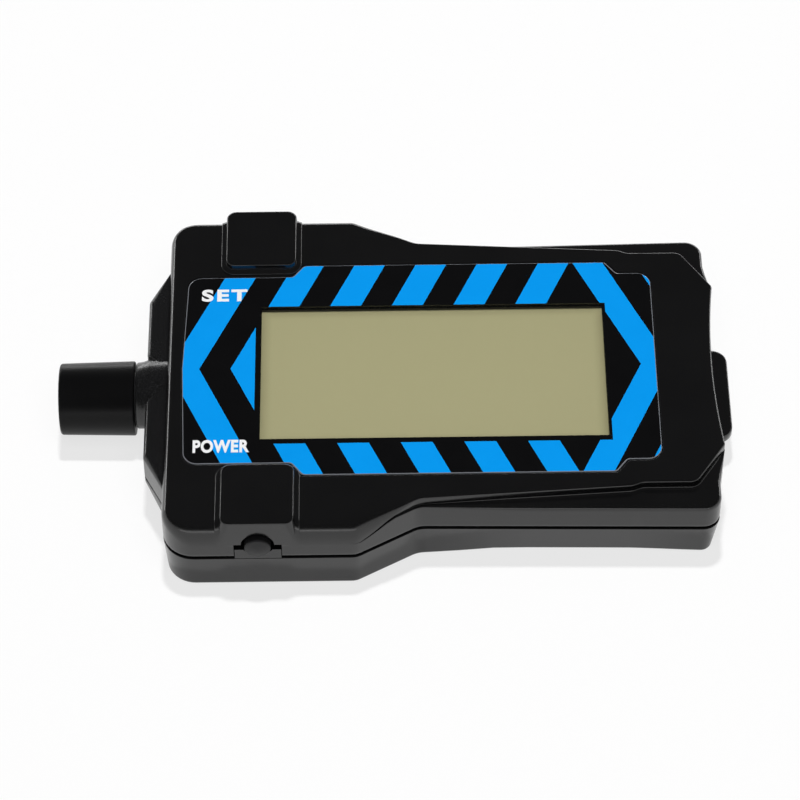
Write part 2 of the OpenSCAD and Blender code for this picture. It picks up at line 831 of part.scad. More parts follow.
module sensor_sleeve() {
    seat_x = tip_x + lens_inset + lens_t;
    color("#1a1b1e") difference() {
        along_x(tip_x, sleeve_x, sleeve_tip_r, sleeve_root_r);
        along_x(tip_x - 1, seat_x, lens_r + fit, lens_r + fit);
        along_x(tip_x, sleeve_x + 1, holder_r + fit, holder_r + fit);
    }
}

module nose_lens() {
    front_x = tip_x + lens_inset;
    dome_r = (lens_r * lens_r + lens_bulge * lens_bulge) / (2 * lens_bulge);
    color("#b8402c", 0.7) intersection() {
        along_x(front_x - 1, front_x + lens_t, lens_r, lens_r);
        translate([front_x + dome_r, 0, part_z]) sphere(r = dome_r, $fn = 96);
    }
}

module optics_holder() {
    color("#2a2a2d") difference() {
        union() {
            along_x(holder_x0, flange_x + flange_t, holder_r, holder_r);
            along_x(flange_x, flange_x + flange_t, holder_flange_r, holder_flange_r);
        }
        for (s = [-1, 1])
            along_x(tip_x, flange_x + 2, optic_r + fit / 2, optic_r + fit / 2, s * optic_gap / 2);
    }
}

// An optical part with two leads on the board, at y
module optic(y, front_r) {
    along_x(optic_x1 - optic_len, optic_x1, optic_r, optic_r, y);
    along_x(optic_x1 - optic_len - optic_nose, optic_x1 - optic_len, front_r, optic_r, y);
    for (s = [-1, 1])
        along_x(optic_x1 - optic_nose, board_x0 + lead_len, lead_r, lead_r, y + s * optic_r / 2);
}

module laser_diode() {
    color("#b89a4a") optic(optic_gap / 2, optic_r * 0.6);
}

module photodiode() {
    color("#3c3350") optic(-optic_gap / 2, optic_r * 0.8);
}

module coin_cell() {
    rim = 0.6;
    color("#c4c6ca") translate([cell_x, 0, cell_z]) {
        cylinder(h = cell_t - rim, r = cell_r, $fn = 96);
        cylinder(h = cell_t, r = cell_r - rim * 2, $fn = 96);
    }
}

// The ring under the board that holds the cell, with a lip over the cell's edge
module cell_holder() {
    lug_clear = lug_z + lug_t + lug_gap;
    lip_top = board_top - fit;
    color("#2b2c30") translate([cell_x, 0, 0]) difference() {
        union() {
            translate([0, 0, lug_clear]) cylinder(h = board_z - lug_clear, r = ring_r, $fn = 96);
            translate([0, 0, lug_clear]) cylinder(h = lip_top - lug_clear, r = opening_r - 2 * fit, $fn = 96);
        }
        cylinder(h = cell_top, r = well_r, $fn = 96);
        cylinder(h = deck_z, r = cell_r - lip_over, $fn = 96);
        translate([-ring_r - 1, -contact_w / 2 - fit * 2, 0])
            cube([1 + ring_r - cell_r + lip_slot, contact_w + fit * 4, deck_z]);
    }
}

// A leaf beside the cell's can, with a foot under the board
module positive_contact() {
    leaf_x = cell_x - cell_r - leaf_gap - contact_t;
    leaf_z = cell_z + leaf_lift;
    color("#c9b98a") translate([leaf_x, -contact_w / 2, 0]) {
        translate([contact_t - foot_len, 0, board_z - contact_t]) cube([foot_len, contact_w, contact_t]);
        translate([0, 0, leaf_z]) cube([contact_t, contact_w, board_z - leaf_z]);
    }
}

// A strap across the board's opening, with a finger bent down to the cell's top
module negative_contact() {
    reach = opening_r + strap_foot;
    finger_len = cell_r - strap_in;
    drop = board_top - cell_top;
    color("#c9b98a") translate([cell_x, 0, 0]) {
        translate([-reach, -contact_w / 2, board_top]) difference() {
            cube([2 * reach, contact_w, contact_t]);
            translate([reach - finger_len + finger_root, contact_w / 4, -1])
                cube([finger_len + finger_end - finger_root, contact_w / 2, 2 + contact_t]);
        }
        translate([-finger_len, -contact_w / 4 + fit, board_top])
            rotate([0, atan2(drop - contact_t, finger_len), 0])
                cube([finger_len, contact_w / 2 - 2 * fit, contact_t]);
        translate([0, 0, cell_top]) cylinder(h = 2 * contact_t - fit, r = contact_w / 4 - fit);
    }
}

module battery_cap() {
    color("#18191c") translate([cell_x, 0, 0]) difference() {
        union() {
            translate([0, 0, cap_inset]) cylinder(h = floor_t, r = cap_r, $fn = 96);
            for (turn = [90, 270]) rotate([0, 0, turn]) intersection() {
                translate([cell_r + cell_gap + fit, -lug_w / 2, cap_top - lug_root])
                    cube([lug_r, lug_w, lug_t + lug_root]);
                union() {
                    cylinder(h = cap_top + lug_t + 1, r = cap_r - fit, $fn = 96);
                    translate([0, 0, cap_top]) cylinder(h = lug_t + 1, r = lug_r, $fn = 96);
                }
            }
        }
        translate([-coin_slot_len / 2, -coin_slot_w / 2, 0])
            cube([coin_slot_len, coin_slot_w, cap_inset + floor_t / 2]);
    }
}

// A pan-head screw with its head at z, its shank going up or down by len
module screw(z, len, shank_r, head_r, up) {
    translate([0, 0, z]) mirror([0, 0, up ? 0 : 1]) difference() {
        union() {
            translate([0, 0, -screw_head_t]) cylinder(h = screw_head_t, r = head_r);
            cylinder(h = len, r = shank_r);
        }
        for (turn = [0, 90]) rotate([0, 0, turn])
            translate([-head_r * cross_len / 2, -head_r * cross_w / 2, -screw_head_t - 1])
                cube([head_r * cross_len, head_r * cross_w, 1 + screw_head_t / 2]);
    }
}

module case_screws() {
    color("#9a9ca0") for (place = case_screw_places)
        translate([place[0], place[1], 0])
            screw(case_head_inset + screw_head_t, part_z + screw_bite - case_head_inset - screw_head_t,
                case_screw_r, case_head_r, true);
}

module board_screws() {
    color("#9a9ca0") for (place = board_screw_places)
        translate([place[0], place[1], 0])
            screw(board_top, board_top - floor_t - 3 * fit, board_screw_r, board_head_r, false);
}

upper_case();
lower_case();
face_label();
display_window();
lcd_panel();
connector_strip_front();
connector_strip_back();
circuit_board();
microcontroller();
crystal();
power_switch_body();
power_button();
set_switch_body();
set_button();
sensor_sleeve();
nose_lens();
optics_holder();
laser_diode();
photodiode();
coin_cell();
cell_holder();
positive_contact();
negative_contact();
battery_cap();
case_screws();
board_screws();
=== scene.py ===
# %% [markdown]
# # A pocket laser tachometer
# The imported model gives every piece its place. This lesson dresses it: the two case halves are
# rebuilt with the soft moulded edges that a camera sees, and each piece gets a finish made of nodes.
# Lengths are written in millimetres and turned into metres where a mesh is made.

import math

import bmesh
import bpy
from mathutils import Matrix, Vector
from mathutils.geometry import tessellate_polygon


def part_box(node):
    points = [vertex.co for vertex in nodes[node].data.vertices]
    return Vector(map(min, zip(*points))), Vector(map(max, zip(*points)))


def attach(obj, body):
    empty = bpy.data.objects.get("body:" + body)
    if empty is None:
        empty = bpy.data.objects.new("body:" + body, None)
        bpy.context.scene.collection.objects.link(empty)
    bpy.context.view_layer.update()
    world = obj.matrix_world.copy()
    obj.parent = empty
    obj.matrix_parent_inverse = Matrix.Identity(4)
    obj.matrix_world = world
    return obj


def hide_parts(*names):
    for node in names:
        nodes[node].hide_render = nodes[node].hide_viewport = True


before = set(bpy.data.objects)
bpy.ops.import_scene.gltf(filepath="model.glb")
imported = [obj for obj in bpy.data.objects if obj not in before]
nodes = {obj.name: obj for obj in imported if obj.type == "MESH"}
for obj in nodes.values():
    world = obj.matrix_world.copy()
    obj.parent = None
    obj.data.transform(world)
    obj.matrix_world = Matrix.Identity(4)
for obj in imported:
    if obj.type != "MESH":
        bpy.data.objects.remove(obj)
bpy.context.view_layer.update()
MM = 0.001

# %% [markdown]
# ## Shader maths
# A printed stripe or a speckled plastic is arithmetic on a point's position. Nodes could be placed
# and linked one at a time, but sums are easier to read as sums. So one small class wraps a socket
# and lets Python's operators add the Math nodes, and one method adds every other kind of node.


# %% A socket that can be calculated with
def operator(operation, swapped=False):
    """A method that adds a Math node."""
    def method(self, other=0.0):
        first, second = (other, self) if swapped else (self, other)
        return self.finish.node("ShaderNodeMath", {"operation": operation}, {0: first, 1: second})

    return method


class Wire:
    def __init__(self, finish, socket):
        self.finish = finish
        self.socket = socket

    __add__ = __radd__ = operator("ADD")
    __sub__ = operator("SUBTRACT")
    __rsub__ = operator("SUBTRACT", swapped=True)
    __mul__ = operator("MULTIPLY")
    __truediv__ = operator("DIVIDE")
    __mod__ = operator("FLOORED_MODULO")
    __abs__ = operator("ABSOLUTE")
    __gt__ = operator("GREATER_THAN")
    __lt__ = operator("LESS_THAN")


# %% A material under construction
class Finish:
    def __init__(self, name, tree=None):
        if tree is None:
            self.material = bpy.data.materials.new(name)
            self.material.use_nodes = True
            tree = self.material.node_tree
        self.tree = tree
        self.tree.nodes.clear()

    def node(self, kind, settings=None, sockets=None, output=0):
        made = self.tree.nodes.new(kind)
        for key, value in (settings or {}).items():
            setattr(made, key, value)
        for key, value in (sockets or {}).items():
            if isinstance(value, Wire):
                self.tree.links.new(value.socket, made.inputs[key])
            else:
                made.inputs[key].default_value = value
        return Wire(self, made.outputs[output]) if made.outputs else None

    def place(self, axis):
        """The point's X, Y or Z on the object, in millimetres."""
        spot = self.node("ShaderNodeTexCoord", output="Object")
        return self.node("ShaderNodeSeparateXYZ", None, {0: spot}, axis) * 1000.0

    def noise(self, size, detail=3.0, stretch=(1.0, 1.0, 1.0)):
        """Noise from 0 to 1 with features of about that many millimetres."""
        spot = self.node("ShaderNodeTexCoord", output="Object")
        scale = [1000.0 / (size * part) for part in stretch]
        spot = self.node("ShaderNodeMapping", None, {"Vector": spot, "Scale": scale})
        return self.node("ShaderNodeTexNoise", None, {"Vector": spot, "Scale": 1.0, "Detail": detail})

    def ramp(self, value, start, end, low=0.0, high=1.0):
        """A soft step from one value to another."""
        return self.node("ShaderNodeMapRange", {"interpolation_type": "SMOOTHSTEP"}, {
            0: value, 1: start, 2: end, 3: low, 4: high})

    def blend(self, mask, low, high):
        return self.node("ShaderNodeMix", {"data_type": "RGBA"}, {0: mask, 6: low, 7: high}, 2)

    def bump(self, height, depth):
        """A bump of that depth in millimetres."""
        return self.node("ShaderNodeBump", None, {"Height": height, "Strength": 1.0, "Distance": depth * MM})

    def surface(self, **sockets):
        named = {key.replace("_", " ").title().replace("Ior", "IOR"): value for key, value in sockets.items()}
        shader = self.node("ShaderNodeBsdfPrincipled", None, named)
        self.node("ShaderNodeOutputMaterial", None, {0: shader})
        return self.material


print("shader helpers ready")

# %% [markdown]
# ## Black moulded plastic
# The case is black ABS with a half-gloss skin: nearly smooth, with the faint grain that a
# spark-eroded mould leaves and slow changes of gloss where it has been handled. The nose block and
# the neck are coarser, with pale specks of dust in the grain. A flat black would look like a hole in
# the picture, so the roughness and a shallow bump carry the look and the colour hardly moves.


# %% Plastics
def grey(value):
    return (value, value, value * 1.06, 1.0)


def moulded_plastic(name, dark, light, roughness, grain_depth, coarse_nose=False, **constants):
    finish = Finish(name)
    patches = finish.noise(patch_size)
    grain = finish.noise(grain_size, 2.0)
    gloss = patches * patch_gloss + grain * grain_gloss + (roughness - (patch_gloss + grain_gloss) / 2)
    colour = finish.blend(patches, grey(dark), grey(light))
    if coarse_nose:
        nose = finish.ramp(finish.place(0), nose_end + nose_blend, nose_end - nose_blend)
        specks = finish.ramp(finish.noise(speck_size, 2.0), 0.45, 0.70) * nose
        colour = finish.blend(specks, colour, grey(speck_grey))
        gloss = gloss + nose * nose_gloss
        grain = grain * (1.0 + nose * nose_grain)
    return finish.surface(
        base_color=colour,
        roughness=gloss,
        normal=finish.bump(grain, grain_depth),
        **constants,
    )


patch_size, grain_size, speck_size = 9.0, 0.22, 0.16
patch_gloss, grain_gloss = 0.10, 0.06
nose_end, nose_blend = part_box("sensor_sleeve")[1].x / MM + 4.2, 0.3
speck_grey, nose_gloss, nose_grain = 0.018, 0.08, 1.5
case_plastic = moulded_plastic("case_plastic", 0.0035, 0.0060, 0.18, 0.003, True, ior=1.56)
sleeve_plastic = moulded_plastic("sleeve_plastic", 0.0030, 0.0055, 0.34, 0.005, specular_ior_level=0.14)
button_plastic = moulded_plastic("button_plastic", 0.008, 0.014, 0.45, 0.008, specular_ior_level=0.35)
inner_plastic = moulded_plastic("inner_plastic", 0.012, 0.022, 0.45, 0.008)
chip_epoxy = moulded_plastic("chip_epoxy", 0.012, 0.020, 0.62, 0.010)
strip_rubber = moulded_plastic("strip_rubber", 0.030, 0.045, 0.75, 0.012)
print("made six plastics")

# %% [markdown]
# ## The printed label
# The label is a thin film printed with blue and black. Its stripes are chevrons: they point left
# over most of the label and the last ones point right at the tail. A texture image could hold them,
# but two sums say it all. Subtracting part of |y| from x bends straight bars into arrows, and a
# remainder repeats them. A black frame goes round the window. Where the film is cut, its edge is
# painted pale: this is partly the cut film's own colour and partly a painted highlight along the rim.

# %% Stripes
label_low, label_high = [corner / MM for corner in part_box("face_label")]
pane_low, pane_high = [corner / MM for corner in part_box("display_window")]
pane_ledge = 0.9
window_low = pane_low + Vector((pane_ledge, pane_ledge, 0))
window_high = pane_high - Vector((pane_ledge, pane_ledge, 0))
stripe_slope, stripe_pitch = 2.2, 8.26
stripe_start = label_low.x - 1.85
stripe_stop = label_low.x + 43.85
tail_slope, tail_blue = 2.15, 4.05
tail_start = label_low.x + 60.6
print_wander, flat_from = 0.06, 0.95
frame_left, frame_right, frame_front, frame_back = 0.75, 0.40, 0.80, 0.05
print("label", label_low, label_high, "window", window_low, window_high)


# %% Print the label
def between(value, low, high):
    return (value > low) * (value < high)


label = Finish("label_print")
x, y = label.place(0), label.place(1)
wander = label.noise(0.5) * print_wander - print_wander / 2
arrow = x - abs(y) / stripe_slope + wander
tail = x + abs(y) / tail_slope + wander
left_bars = (arrow - stripe_start) % stripe_pitch < stripe_pitch / 2
left_bars = left_bars * between(arrow, stripe_start, stripe_stop)
right_bars = ((tail - tail_start) % stripe_pitch < tail_blue) * (tail > tail_start)
framed = between(x, window_low.x - frame_left, window_high.x + frame_right)
framed = framed * between(y, window_low.y - frame_front, window_high.y + frame_back)
blue_print = (left_bars * (tail < tail_start) + right_bars) * (1.0 - framed)
ink = label.noise(4.0)
blue = label.blend(ink, (0.0, 0.305, 0.845, 1.0), (0.001, 0.328, 0.895, 1.0))
black = label.blend(ink, (0.0016, 0.0016, 0.0020, 1.0), (0.0030, 0.0030, 0.0034, 1.0))
film = label.noise(0.35, 2.0)
outwards = label.node("ShaderNodeNewGeometry", output="Normal")
upright = label.node("ShaderNodeSeparateXYZ", None, {0: outwards}, 2)
# the film's sideways-facing cut edges are painted pale: partly the cut film's own colour, partly a painted
# highlight
cut_edge_painted_highlight = (upright < flat_from) * (1.0 - framed)
printed = label.blend(blue_print, black, blue)
label_print = label.surface(
    base_color=label.blend(cut_edge_painted_highlight, printed, (0.19, 0.20, 0.22, 1.0)),
    roughness=film * 0.06 + ink * 0.06 + 0.12,
    normal=label.bump(film, 0.002),
)
legend = Finish("legend_ink")
legend_ink = legend.surface(
    base_color=legend.blend(legend.noise(0.6), (0.86, 0.87, 0.88, 1.0), (0.93, 0.93, 0.93, 1.0)),
    roughness=legend.noise(0.4) * 0.1 + 0.38,
)
print("printed the label")

# %% [markdown]
# ## Display
# An unpowered display is a flat olive grey under a clear pane. Its polariser has a very fine grain,
# and a painted shade darkens the olive towards the window's edges, where the frame shades it. The
# pane is almost nothing: mostly see-through, with a clean gloss.

# %% Display and pane
display = Finish("display_olive")
middle = (window_low + window_high) / 2
half = (window_high - window_low) / 2
edge_x = abs(display.place(0) - middle.x) - half.x
edge_y = abs(display.place(1) - middle.y) - half.y
edge = display.node("ShaderNodeMath", {"operation": "SMOOTH_MAX"}, {0: edge_x, 1: edge_y, 2: 0.6})
# painted shade: the olive turns darker within about a millimetre of the window's edges, for the frame's
# shadow
painted_edge_shade = display.ramp(edge, -1.6, 0.2)
polariser = display.noise(0.3, 2.0, (1.0, 6.0, 1.0))
olive = display.blend(polariser, (0.452, 0.428, 0.237, 1.0), (0.472, 0.448, 0.252, 1.0))
display_olive = display.surface(
    base_color=display.blend(painted_edge_shade, olive, (0.355, 0.332, 0.182, 1.0)),
    roughness=polariser * 0.05 + 0.42,
)
pane = Finish("clear_pane")
clear_pane = pane.surface(
    base_color=(0.05, 0.052, 0.05, 1.0),
    roughness=pane.noise(6.0) * 0.04 + 0.05,
    alpha=0.05,
)
print("made the display and its pane")

# %% [markdown]
# ## Metals, glass and circuit board
# Turned steel carries fine rings, stamped brass has a soft brushed grain, and the board is green
# lacquer over woven glass. Each is a stretched noise that moves the roughness and the colour a
# little, which is what tells metal from grey paint.


# %% Small finishes
def worked_metal(name, dark, light, roughness, stretch):
    finish = Finish(name)
    brushed = finish.noise(0.35, 4.0, stretch)
    stain = finish.noise(3.0)
    return finish.surface(
        base_color=finish.blend(stain, dark, light),
        metallic=1.0,
        roughness=brushed * 0.16 + stain * 0.06 + (roughness - 0.1),
        normal=finish.bump(brushed, 0.003),
    )


screw_steel = worked_metal(
    "screw_steel", (0.34, 0.34, 0.36, 1.0), (0.46, 0.46, 0.48, 1.0), 0.34, (1.0, 1.0, 4.0))
can_steel = worked_metal(
    "can_steel", (0.56, 0.56, 0.58, 1.0), (0.66, 0.66, 0.68, 1.0), 0.28, (1.0, 6.0, 1.0))
contact_brass = worked_metal(
    "contact_brass", (0.56, 0.44, 0.22, 1.0), (0.66, 0.53, 0.29, 1.0), 0.30, (6.0, 1.0, 1.0))
board = Finish("board_lacquer")
glass_weave = board.noise(0.5, 1.0, (1.0, 3.0, 1.0)) * board.noise(0.5, 1.0, (3.0, 1.0, 1.0))
board_lacquer = board.surface(
    base_color=board.blend(glass_weave, (0.006, 0.095, 0.032, 1.0), (0.016, 0.190, 0.070, 1.0)),
    roughness=glass_weave * 0.12 + 0.30,
)
lens = Finish("lens_red")
lens_red = lens.surface(
    base_color=lens.blend(lens.noise(3.0), (0.16, 0.010, 0.008, 1.0), (0.24, 0.018, 0.012, 1.0)),
    roughness=lens.noise(2.0) * 0.03 + 0.06,
    coat_weight=0.6,
)
print("made the metals, the board and the lens")

# %% [markdown]
# ## Outlines of the case
# Seen from above, the case is a wide head that narrows through a waist to a grip with a hollow end
# face. The wall's foot and the raised deck follow two outlines that part company behind the waist.
# Both are chains of corners with the same count, each corner turned into an arc with the same
# number of steps, so a point on one always has its partner on the other and walls can span them.

# %% Sizes of the case
upper_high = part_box("upper_case")[1] / MM
lower_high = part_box("lower_case")[1] / MM
head_x = label_low.x - 2.1
waist_x = head_x + 25.0
grip_x = waist_x + 8.1
end_x = grip_x + 39.9
step_x, step_end_x = end_x - 12.4, end_x - 11.1
cut_x, side_x = end_x - 4.1, end_x - 0.9
wall_y, grip_y, grip_end_y = upper_high.y, 22.4, 23.1
deck_y, deck_step_y, deck_end_y = 22.0, 20.3, 19.75
face_y, corner_y = 13.6, 18.6
end_hollow, hollow_reach = 0.9, 14.0
part_z, seam = 5.9, 0.2
shoulder_z, deck_z = 10.4, label_high.z
arc_steps, nearly_straight = 10, 0.002
print("head from", head_x, "grip to", end_x, "deck at", deck_z)


# %% Rounded chains
def corner_arc(before, corner, after, radius):
    """The corner between two straight runs, as an arc of that radius."""
    back = (before - corner).normalized()
    ahead = (after - corner).normalized()
    half_turn = back.angle(ahead) / 2
    if half_turn > math.pi / 2 - nearly_straight:
        return [corner + back * radius * (0.1 - 0.2 * step / arc_steps) for step in range(arc_steps + 1)]
    reach = radius / math.tan(half_turn)
    centre = corner + (back + ahead).normalized() * (radius / math.sin(half_turn))
    start = corner + back * reach - centre
    end = corner + ahead * reach - centre
    turn = start.angle(end)
    arc = []
    for step in range(arc_steps + 1):
        share = step / arc_steps
        spoke = start * math.sin((1 - share) * turn) + end * math.sin(share * turn)
        arc.append(centre + spoke / math.sin(turn))
    return arc


def rounded(corners, radii, fill=0):
    """A chain of corners with each inner one rounded, and that many points added on each run."""
    corners = [Vector(corner) for corner in corners]
    chain = [corners[0]]
    for index, radius in enumerate(radii, start=1):
        arc = corner_arc(corners[index - 1], corners[index], corners[index + 1], radius)
        last = chain[-1]
        chain += [last.lerp(arc[0], step / (fill + 1)) for step in range(1, fill + 1)]
        chain += arc
    return chain + corners[len(radii) + 1:]


def mirrored(half_chain):
    """A half chain that starts and ends on the long axis, closed on the other side."""
    return half_chain + [Vector((point.x, -point.y)) for point in reversed(half_chain[1:-1])]


def moved_out(ring, distances):
    """A ring with each point moved outwards by its own distance, or all by one."""
    if isinstance(distances, (int, float)):
        distances = [distances] * len(ring)
    out = []
    for index, point in enumerate(ring):
        run = ring[(index + 1) % len(ring)] - ring[index - 1]
        out.append(point + Vector((-run.y, run.x)).normalized() * distances[index])
    return out


def smooth(share):
    """A share held between 0 and 1, with an even start and end."""
    share = min(max(share, 0.0), 1.0)
    return share * share * (3 - 2 * share)


def quarter(steps=5):
    """Cosines and sines of a quarter turn, for fillets."""
    turns = [math.pi / 2 * step / steps for step in range(steps + 1)]
    return [(math.cos(turn), math.sin(turn)) for turn in turns]


print("outline helpers ready")


# %% The two outlines
def grip_line(along):
    """Half the grip's width at that x, on its straight flaring side."""
    return grip_y + (grip_end_y - grip_y) * (along - grip_x) / (side_x - grip_x)


def hollow_end(steps=9):
    """The end face's hollow curve, from beside its corner to the long axis."""
    radius = (hollow_reach ** 2 + end_hollow ** 2) / (2 * end_hollow)
    spots = [face_y * (1 - step / steps) for step in range(steps + 1)]
    return [(end_x - end_hollow + radius - math.sqrt(radius ** 2 - spot ** 2), spot) for spot in spots]


def case_outline(side, least_radius=0.0):
    shared = [(head_x, 0), (head_x, wall_y), (waist_x, wall_y)]
    radii = [4.1, 2.6, 3.2, 1.8, 1.8, side["corner_r"], 1.5, 0.8]
    corners = shared + side["corners"] + hollow_end()
    return mirrored(rounded(corners, [max(radius, least_radius) for radius in radii], 5))


foot_side = {"corner_r": 2.3, "corners": [
    (grip_x, grip_y), (step_x, grip_line(step_x)), (step_end_x, grip_line(step_end_x)),
    (side_x, grip_end_y), (side_x, corner_y)]}
deck_side = {"corner_r": 1.6, "corners": [
    (grip_x, deck_y), (step_x, deck_step_y), (step_end_x, deck_end_y), (cut_x, deck_end_y),
    ((cut_x + end_x) / 2, (deck_end_y + face_y) / 2)]}
foot_ring = case_outline(foot_side)
deck_ring = case_outline(deck_side)
ledges = [(foot - deck).length for foot, deck in zip(foot_ring, deck_ring)]
print(len(foot_ring), len(deck_ring), "points, widest ledge", round(max(ledges), 2))

# %% [markdown]
# ## Building skins
# A moulded half could be cut from blocks and bevelled afterwards, but bevels break where several
# edges meet. Instead each skin is a stack of rings, lifted and drawn in step by step, so that every
# fillet is simply a few more rings. Flat plates with openings are filled with triangles.


# %% Skin builder
def at_height(ring, height):
    heights = height if isinstance(height, list) else [height] * len(ring)
    return [(point.x, point.y, level) for point, level in zip(ring, heights)]


def linked(name, data):
    """A new object in the scene that holds that data."""
    made = bpy.data.objects.new(name, data)
    bpy.context.scene.collection.objects.link(made)
    return made


class Skin:
    def __init__(self):
        self.mesh = bmesh.new()

    def corner(self, point):
        return self.mesh.verts.new(Vector(point) * MM)

    def face(self, corners):
        self.mesh.faces.new(corners)

    def stack(self, rings):
        """Walls between rings of equal count."""
        rows = [[self.corner(point) for point in ring] for ring in rings]
        for low, high in zip(rows, rows[1:]):
            for index in range(len(low)):
                self.face((low[index - 1], low[index], high[index], high[index - 1]))

    def plate(self, outline, *openings):
        """A flat plate with openings."""
        loops = [[Vector(point) for point in loop] for loop in (outline, *openings)]
        corners = [self.corner(point) for loop in loops for point in loop]
        for triangle in tessellate_polygon(loops):
            self.face([corners[index] for index in triangle])

    def shelf(self, outline, opening, level):
        """A flat plate at one height, with one opening."""
        self.plate(at_height(outline, level), at_height(opening, level))

    def wall(self, ring, start, end):
        """An upright wall over one outline."""
        self.stack([at_height(ring, start), at_height(ring, end)])

    def cap(self, ring):
        """One face that closes a ring."""
        self.face([self.corner(point) for point in ring])

    def solid(self, rings):
        """A closed solid: walls and a plate at each end."""
        self.stack(rings)
        self.plate(rings[0])
        self.plate(rings[-1])

    def piece(self, name):
        """The finished object: seams closed, faces outwards."""
        bmesh.ops.remove_doubles(self.mesh, verts=self.mesh.verts, dist=2e-6)
        bmesh.ops.dissolve_degenerate(self.mesh, edges=self.mesh.edges, dist=1e-7)
        bmesh.ops.recalc_face_normals(self.mesh, faces=self.mesh.faces)
        data = bpy.data.meshes.new(name)
        self.mesh.to_mesh(data)
        open_edges = sum(1 for edge in self.mesh.edges if len(edge.link_faces) != 2)
        self.mesh.free()
        print(name, len(data.polygons), "faces,", open_edges, "open edges")
        return linked(name, data)


# %% [markdown]
# ## Cutting and finishing
# Holes for the buttons, screws and battery cap go through finished skins, so there a Boolean
# modifier is the right tool. Each cutter is a plain closed solid that is thrown away afterwards.
# Weighted normals then keep the flat walls flat beside their small fillets.


# %% Cutters
def box_skin(low, high):
    skin = Skin()
    loop = [(low[0], low[1]), (low[0], high[1]), (high[0], high[1]), (high[0], low[1])]
    skin.solid([at_height([Vector(point) for point in loop], level) for level in (low[2], high[2])])
    return skin.piece("cutter")


def round_ring(centre, along, radius, sides):
    """A circle of points about an axis."""
    turn = along.to_track_quat("Z", "Y")
    ring = []
    for side in range(sides):
        angle = math.tau * side / sides
        ring.append(centre + turn @ Vector((radius * math.cos(angle), radius * math.sin(angle), 0)))
    return ring


def turned(name, profile, origin, along, sides=96):
    """A profile of (distance, radius) pairs spun about an axis."""
    origin, along = Vector(origin), Vector(along)
    skin = Skin()
    skin.stack([round_ring(origin + along * distance, along, radius, sides) for distance, radius in profile])
    return skin.piece(name)


def rod_skin(start, end, radius, sides=64):
    along = Vector(end) - Vector(start)
    rings = [round_ring(Vector(centre), along, radius, sides) for centre in (start, end)]
    skin = Skin()
    skin.stack(rings)
    for ring in rings:
        skin.cap(ring)
    return skin.piece("cutter")


def as_mesh(piece):
    """Fixes the piece's modifiers into its mesh."""
    ready = piece.evaluated_get(bpy.context.evaluated_depsgraph_get())
    data = bpy.data.meshes.new_from_object(ready)
    piece.modifiers.clear()
    piece.data = data


def cut(piece, cutters):
    for cutter in cutters:
        knife = piece.modifiers.new("cut", "BOOLEAN")
        knife.operation = "DIFFERENCE"
        knife.solver = "EXACT"
        knife.object = cutter
    as_mesh(piece)


def discard(pieces):
    for piece in pieces:
        bpy.data.objects.remove(piece)


def joined(name, pieces):
    """Several meshes as one piece."""
    whole = bmesh.new()
    for piece in pieces:
        whole.from_mesh(piece.data)
    data = bpy.data.meshes.new(name)
    whole.to_mesh(data)
    whole.free()
    discard(pieces)
    return linked(name, data)


def finished(piece, material, body, slot, *replaced):
    """Smooth shading, a finish, and a place in the frame."""
    piece.data.shade_smooth()
    piece.data.set_sharp_from_angle(angle=math.radians(38))
    even = piece.modifiers.new("even", "WEIGHTED_NORMAL")
    even.keep_sharp = True
    as_mesh(piece)
    piece.data.materials.clear()
    piece.data.materials.append(material)
    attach(piece, body)
    if replaced:
        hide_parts(*replaced)
    print(piece.name, "has", len(piece.data.polygons), "faces")


# %% [markdown]
# ## Upper case
# The upper half rises flush from the parting line on the head, while on the grip it steps in over a
# shoulder to the deck. The ledge's width decides how large its fillets may be, so they grow out of
# nothing at the waist as they do in the mould. The deck's edge is well rounded on the head and
# crisp on the grip. Below the deck lie the label's recess, the pane's ledge and the display's pocket.

# %% Upper skin, outside
rim_in, rim_h, shoulder_r, foot_r = 0.18, 0.60, 0.7, 0.35
left_run, left_drop = 1.0, 1.6
head_run, head_drop = 1.6, 3.2
deck_edge, guard, tier_gap = 0.35, 0.25, 0.04
wall, skin_z = 1.4, deck_z - 1.5
low_z = part_z + seam


def grown(width):
    """From 0 to 1 as the ledge opens, so that two fillets always fit on it."""
    return min(smooth(width / 1.6), width / 1.5)


def along_edge(point, left, head, grip):
    """A value that changes along the deck's edge, from the left end over the head to the grip."""
    on_head = left + (head - left) * smooth((point.x - head_x) / 4.1)
    return on_head + (grip - on_head) * smooth((point.x - waist_x) / (grip_x - waist_x))


shares = [grown(width) for width in ledges]
runs = [along_edge(point, left_run, head_run, deck_edge) for point in deck_ring]
drops = [along_edge(point, left_drop, head_drop, deck_edge) for point in deck_ring]
shelf = [min(shoulder_z, deck_z - drop) for drop in drops]
wall_top = [base - shoulder_r * share - guard for base, share in zip(shelf, shares)]
upper_rings = []
for step in range(6):
    share = step / 5
    upper_rings.append(at_height(moved_out(foot_ring, -rim_in * (1 - share) ** 2), low_z + rim_h * share))
upper_rings.append(at_height(foot_ring, wall_top))
for cosine, sine in quarter():
    inset = [-shoulder_r * share * (1 - cosine) for share in shares]
    level = [base - shoulder_r * share * (1 - sine) for base, share in zip(shelf, shares)]
    upper_rings.append(at_height(moved_out(foot_ring, inset), level))
for cosine, sine in quarter():
    spread = [share * (tier_gap + foot_r * (1 - sine)) for share in shares]
    level = [base + foot_r * share * (1 - cosine) for base, share in zip(shelf, shares)]
    upper_rings.append(at_height(moved_out(deck_ring, spread), level))
for cosine, sine in quarter(10):
    inset = [-run * (1 - cosine) for run in runs]
    level = [deck_z - drop * (1 - sine) for drop in drops]
    upper_rings.append(at_height(moved_out(deck_ring, inset), level))
print(len(upper_rings), "rings outside")


# %% Openings in the deck
label_half, label_end_half, label_bulge = 18.0, 16.0, 0.55
step_l, step_r, step_run = label_low.x + 14.5, label_high.x - 4.5, 1.5
label_r, label_step_r = 1.9, 0.8


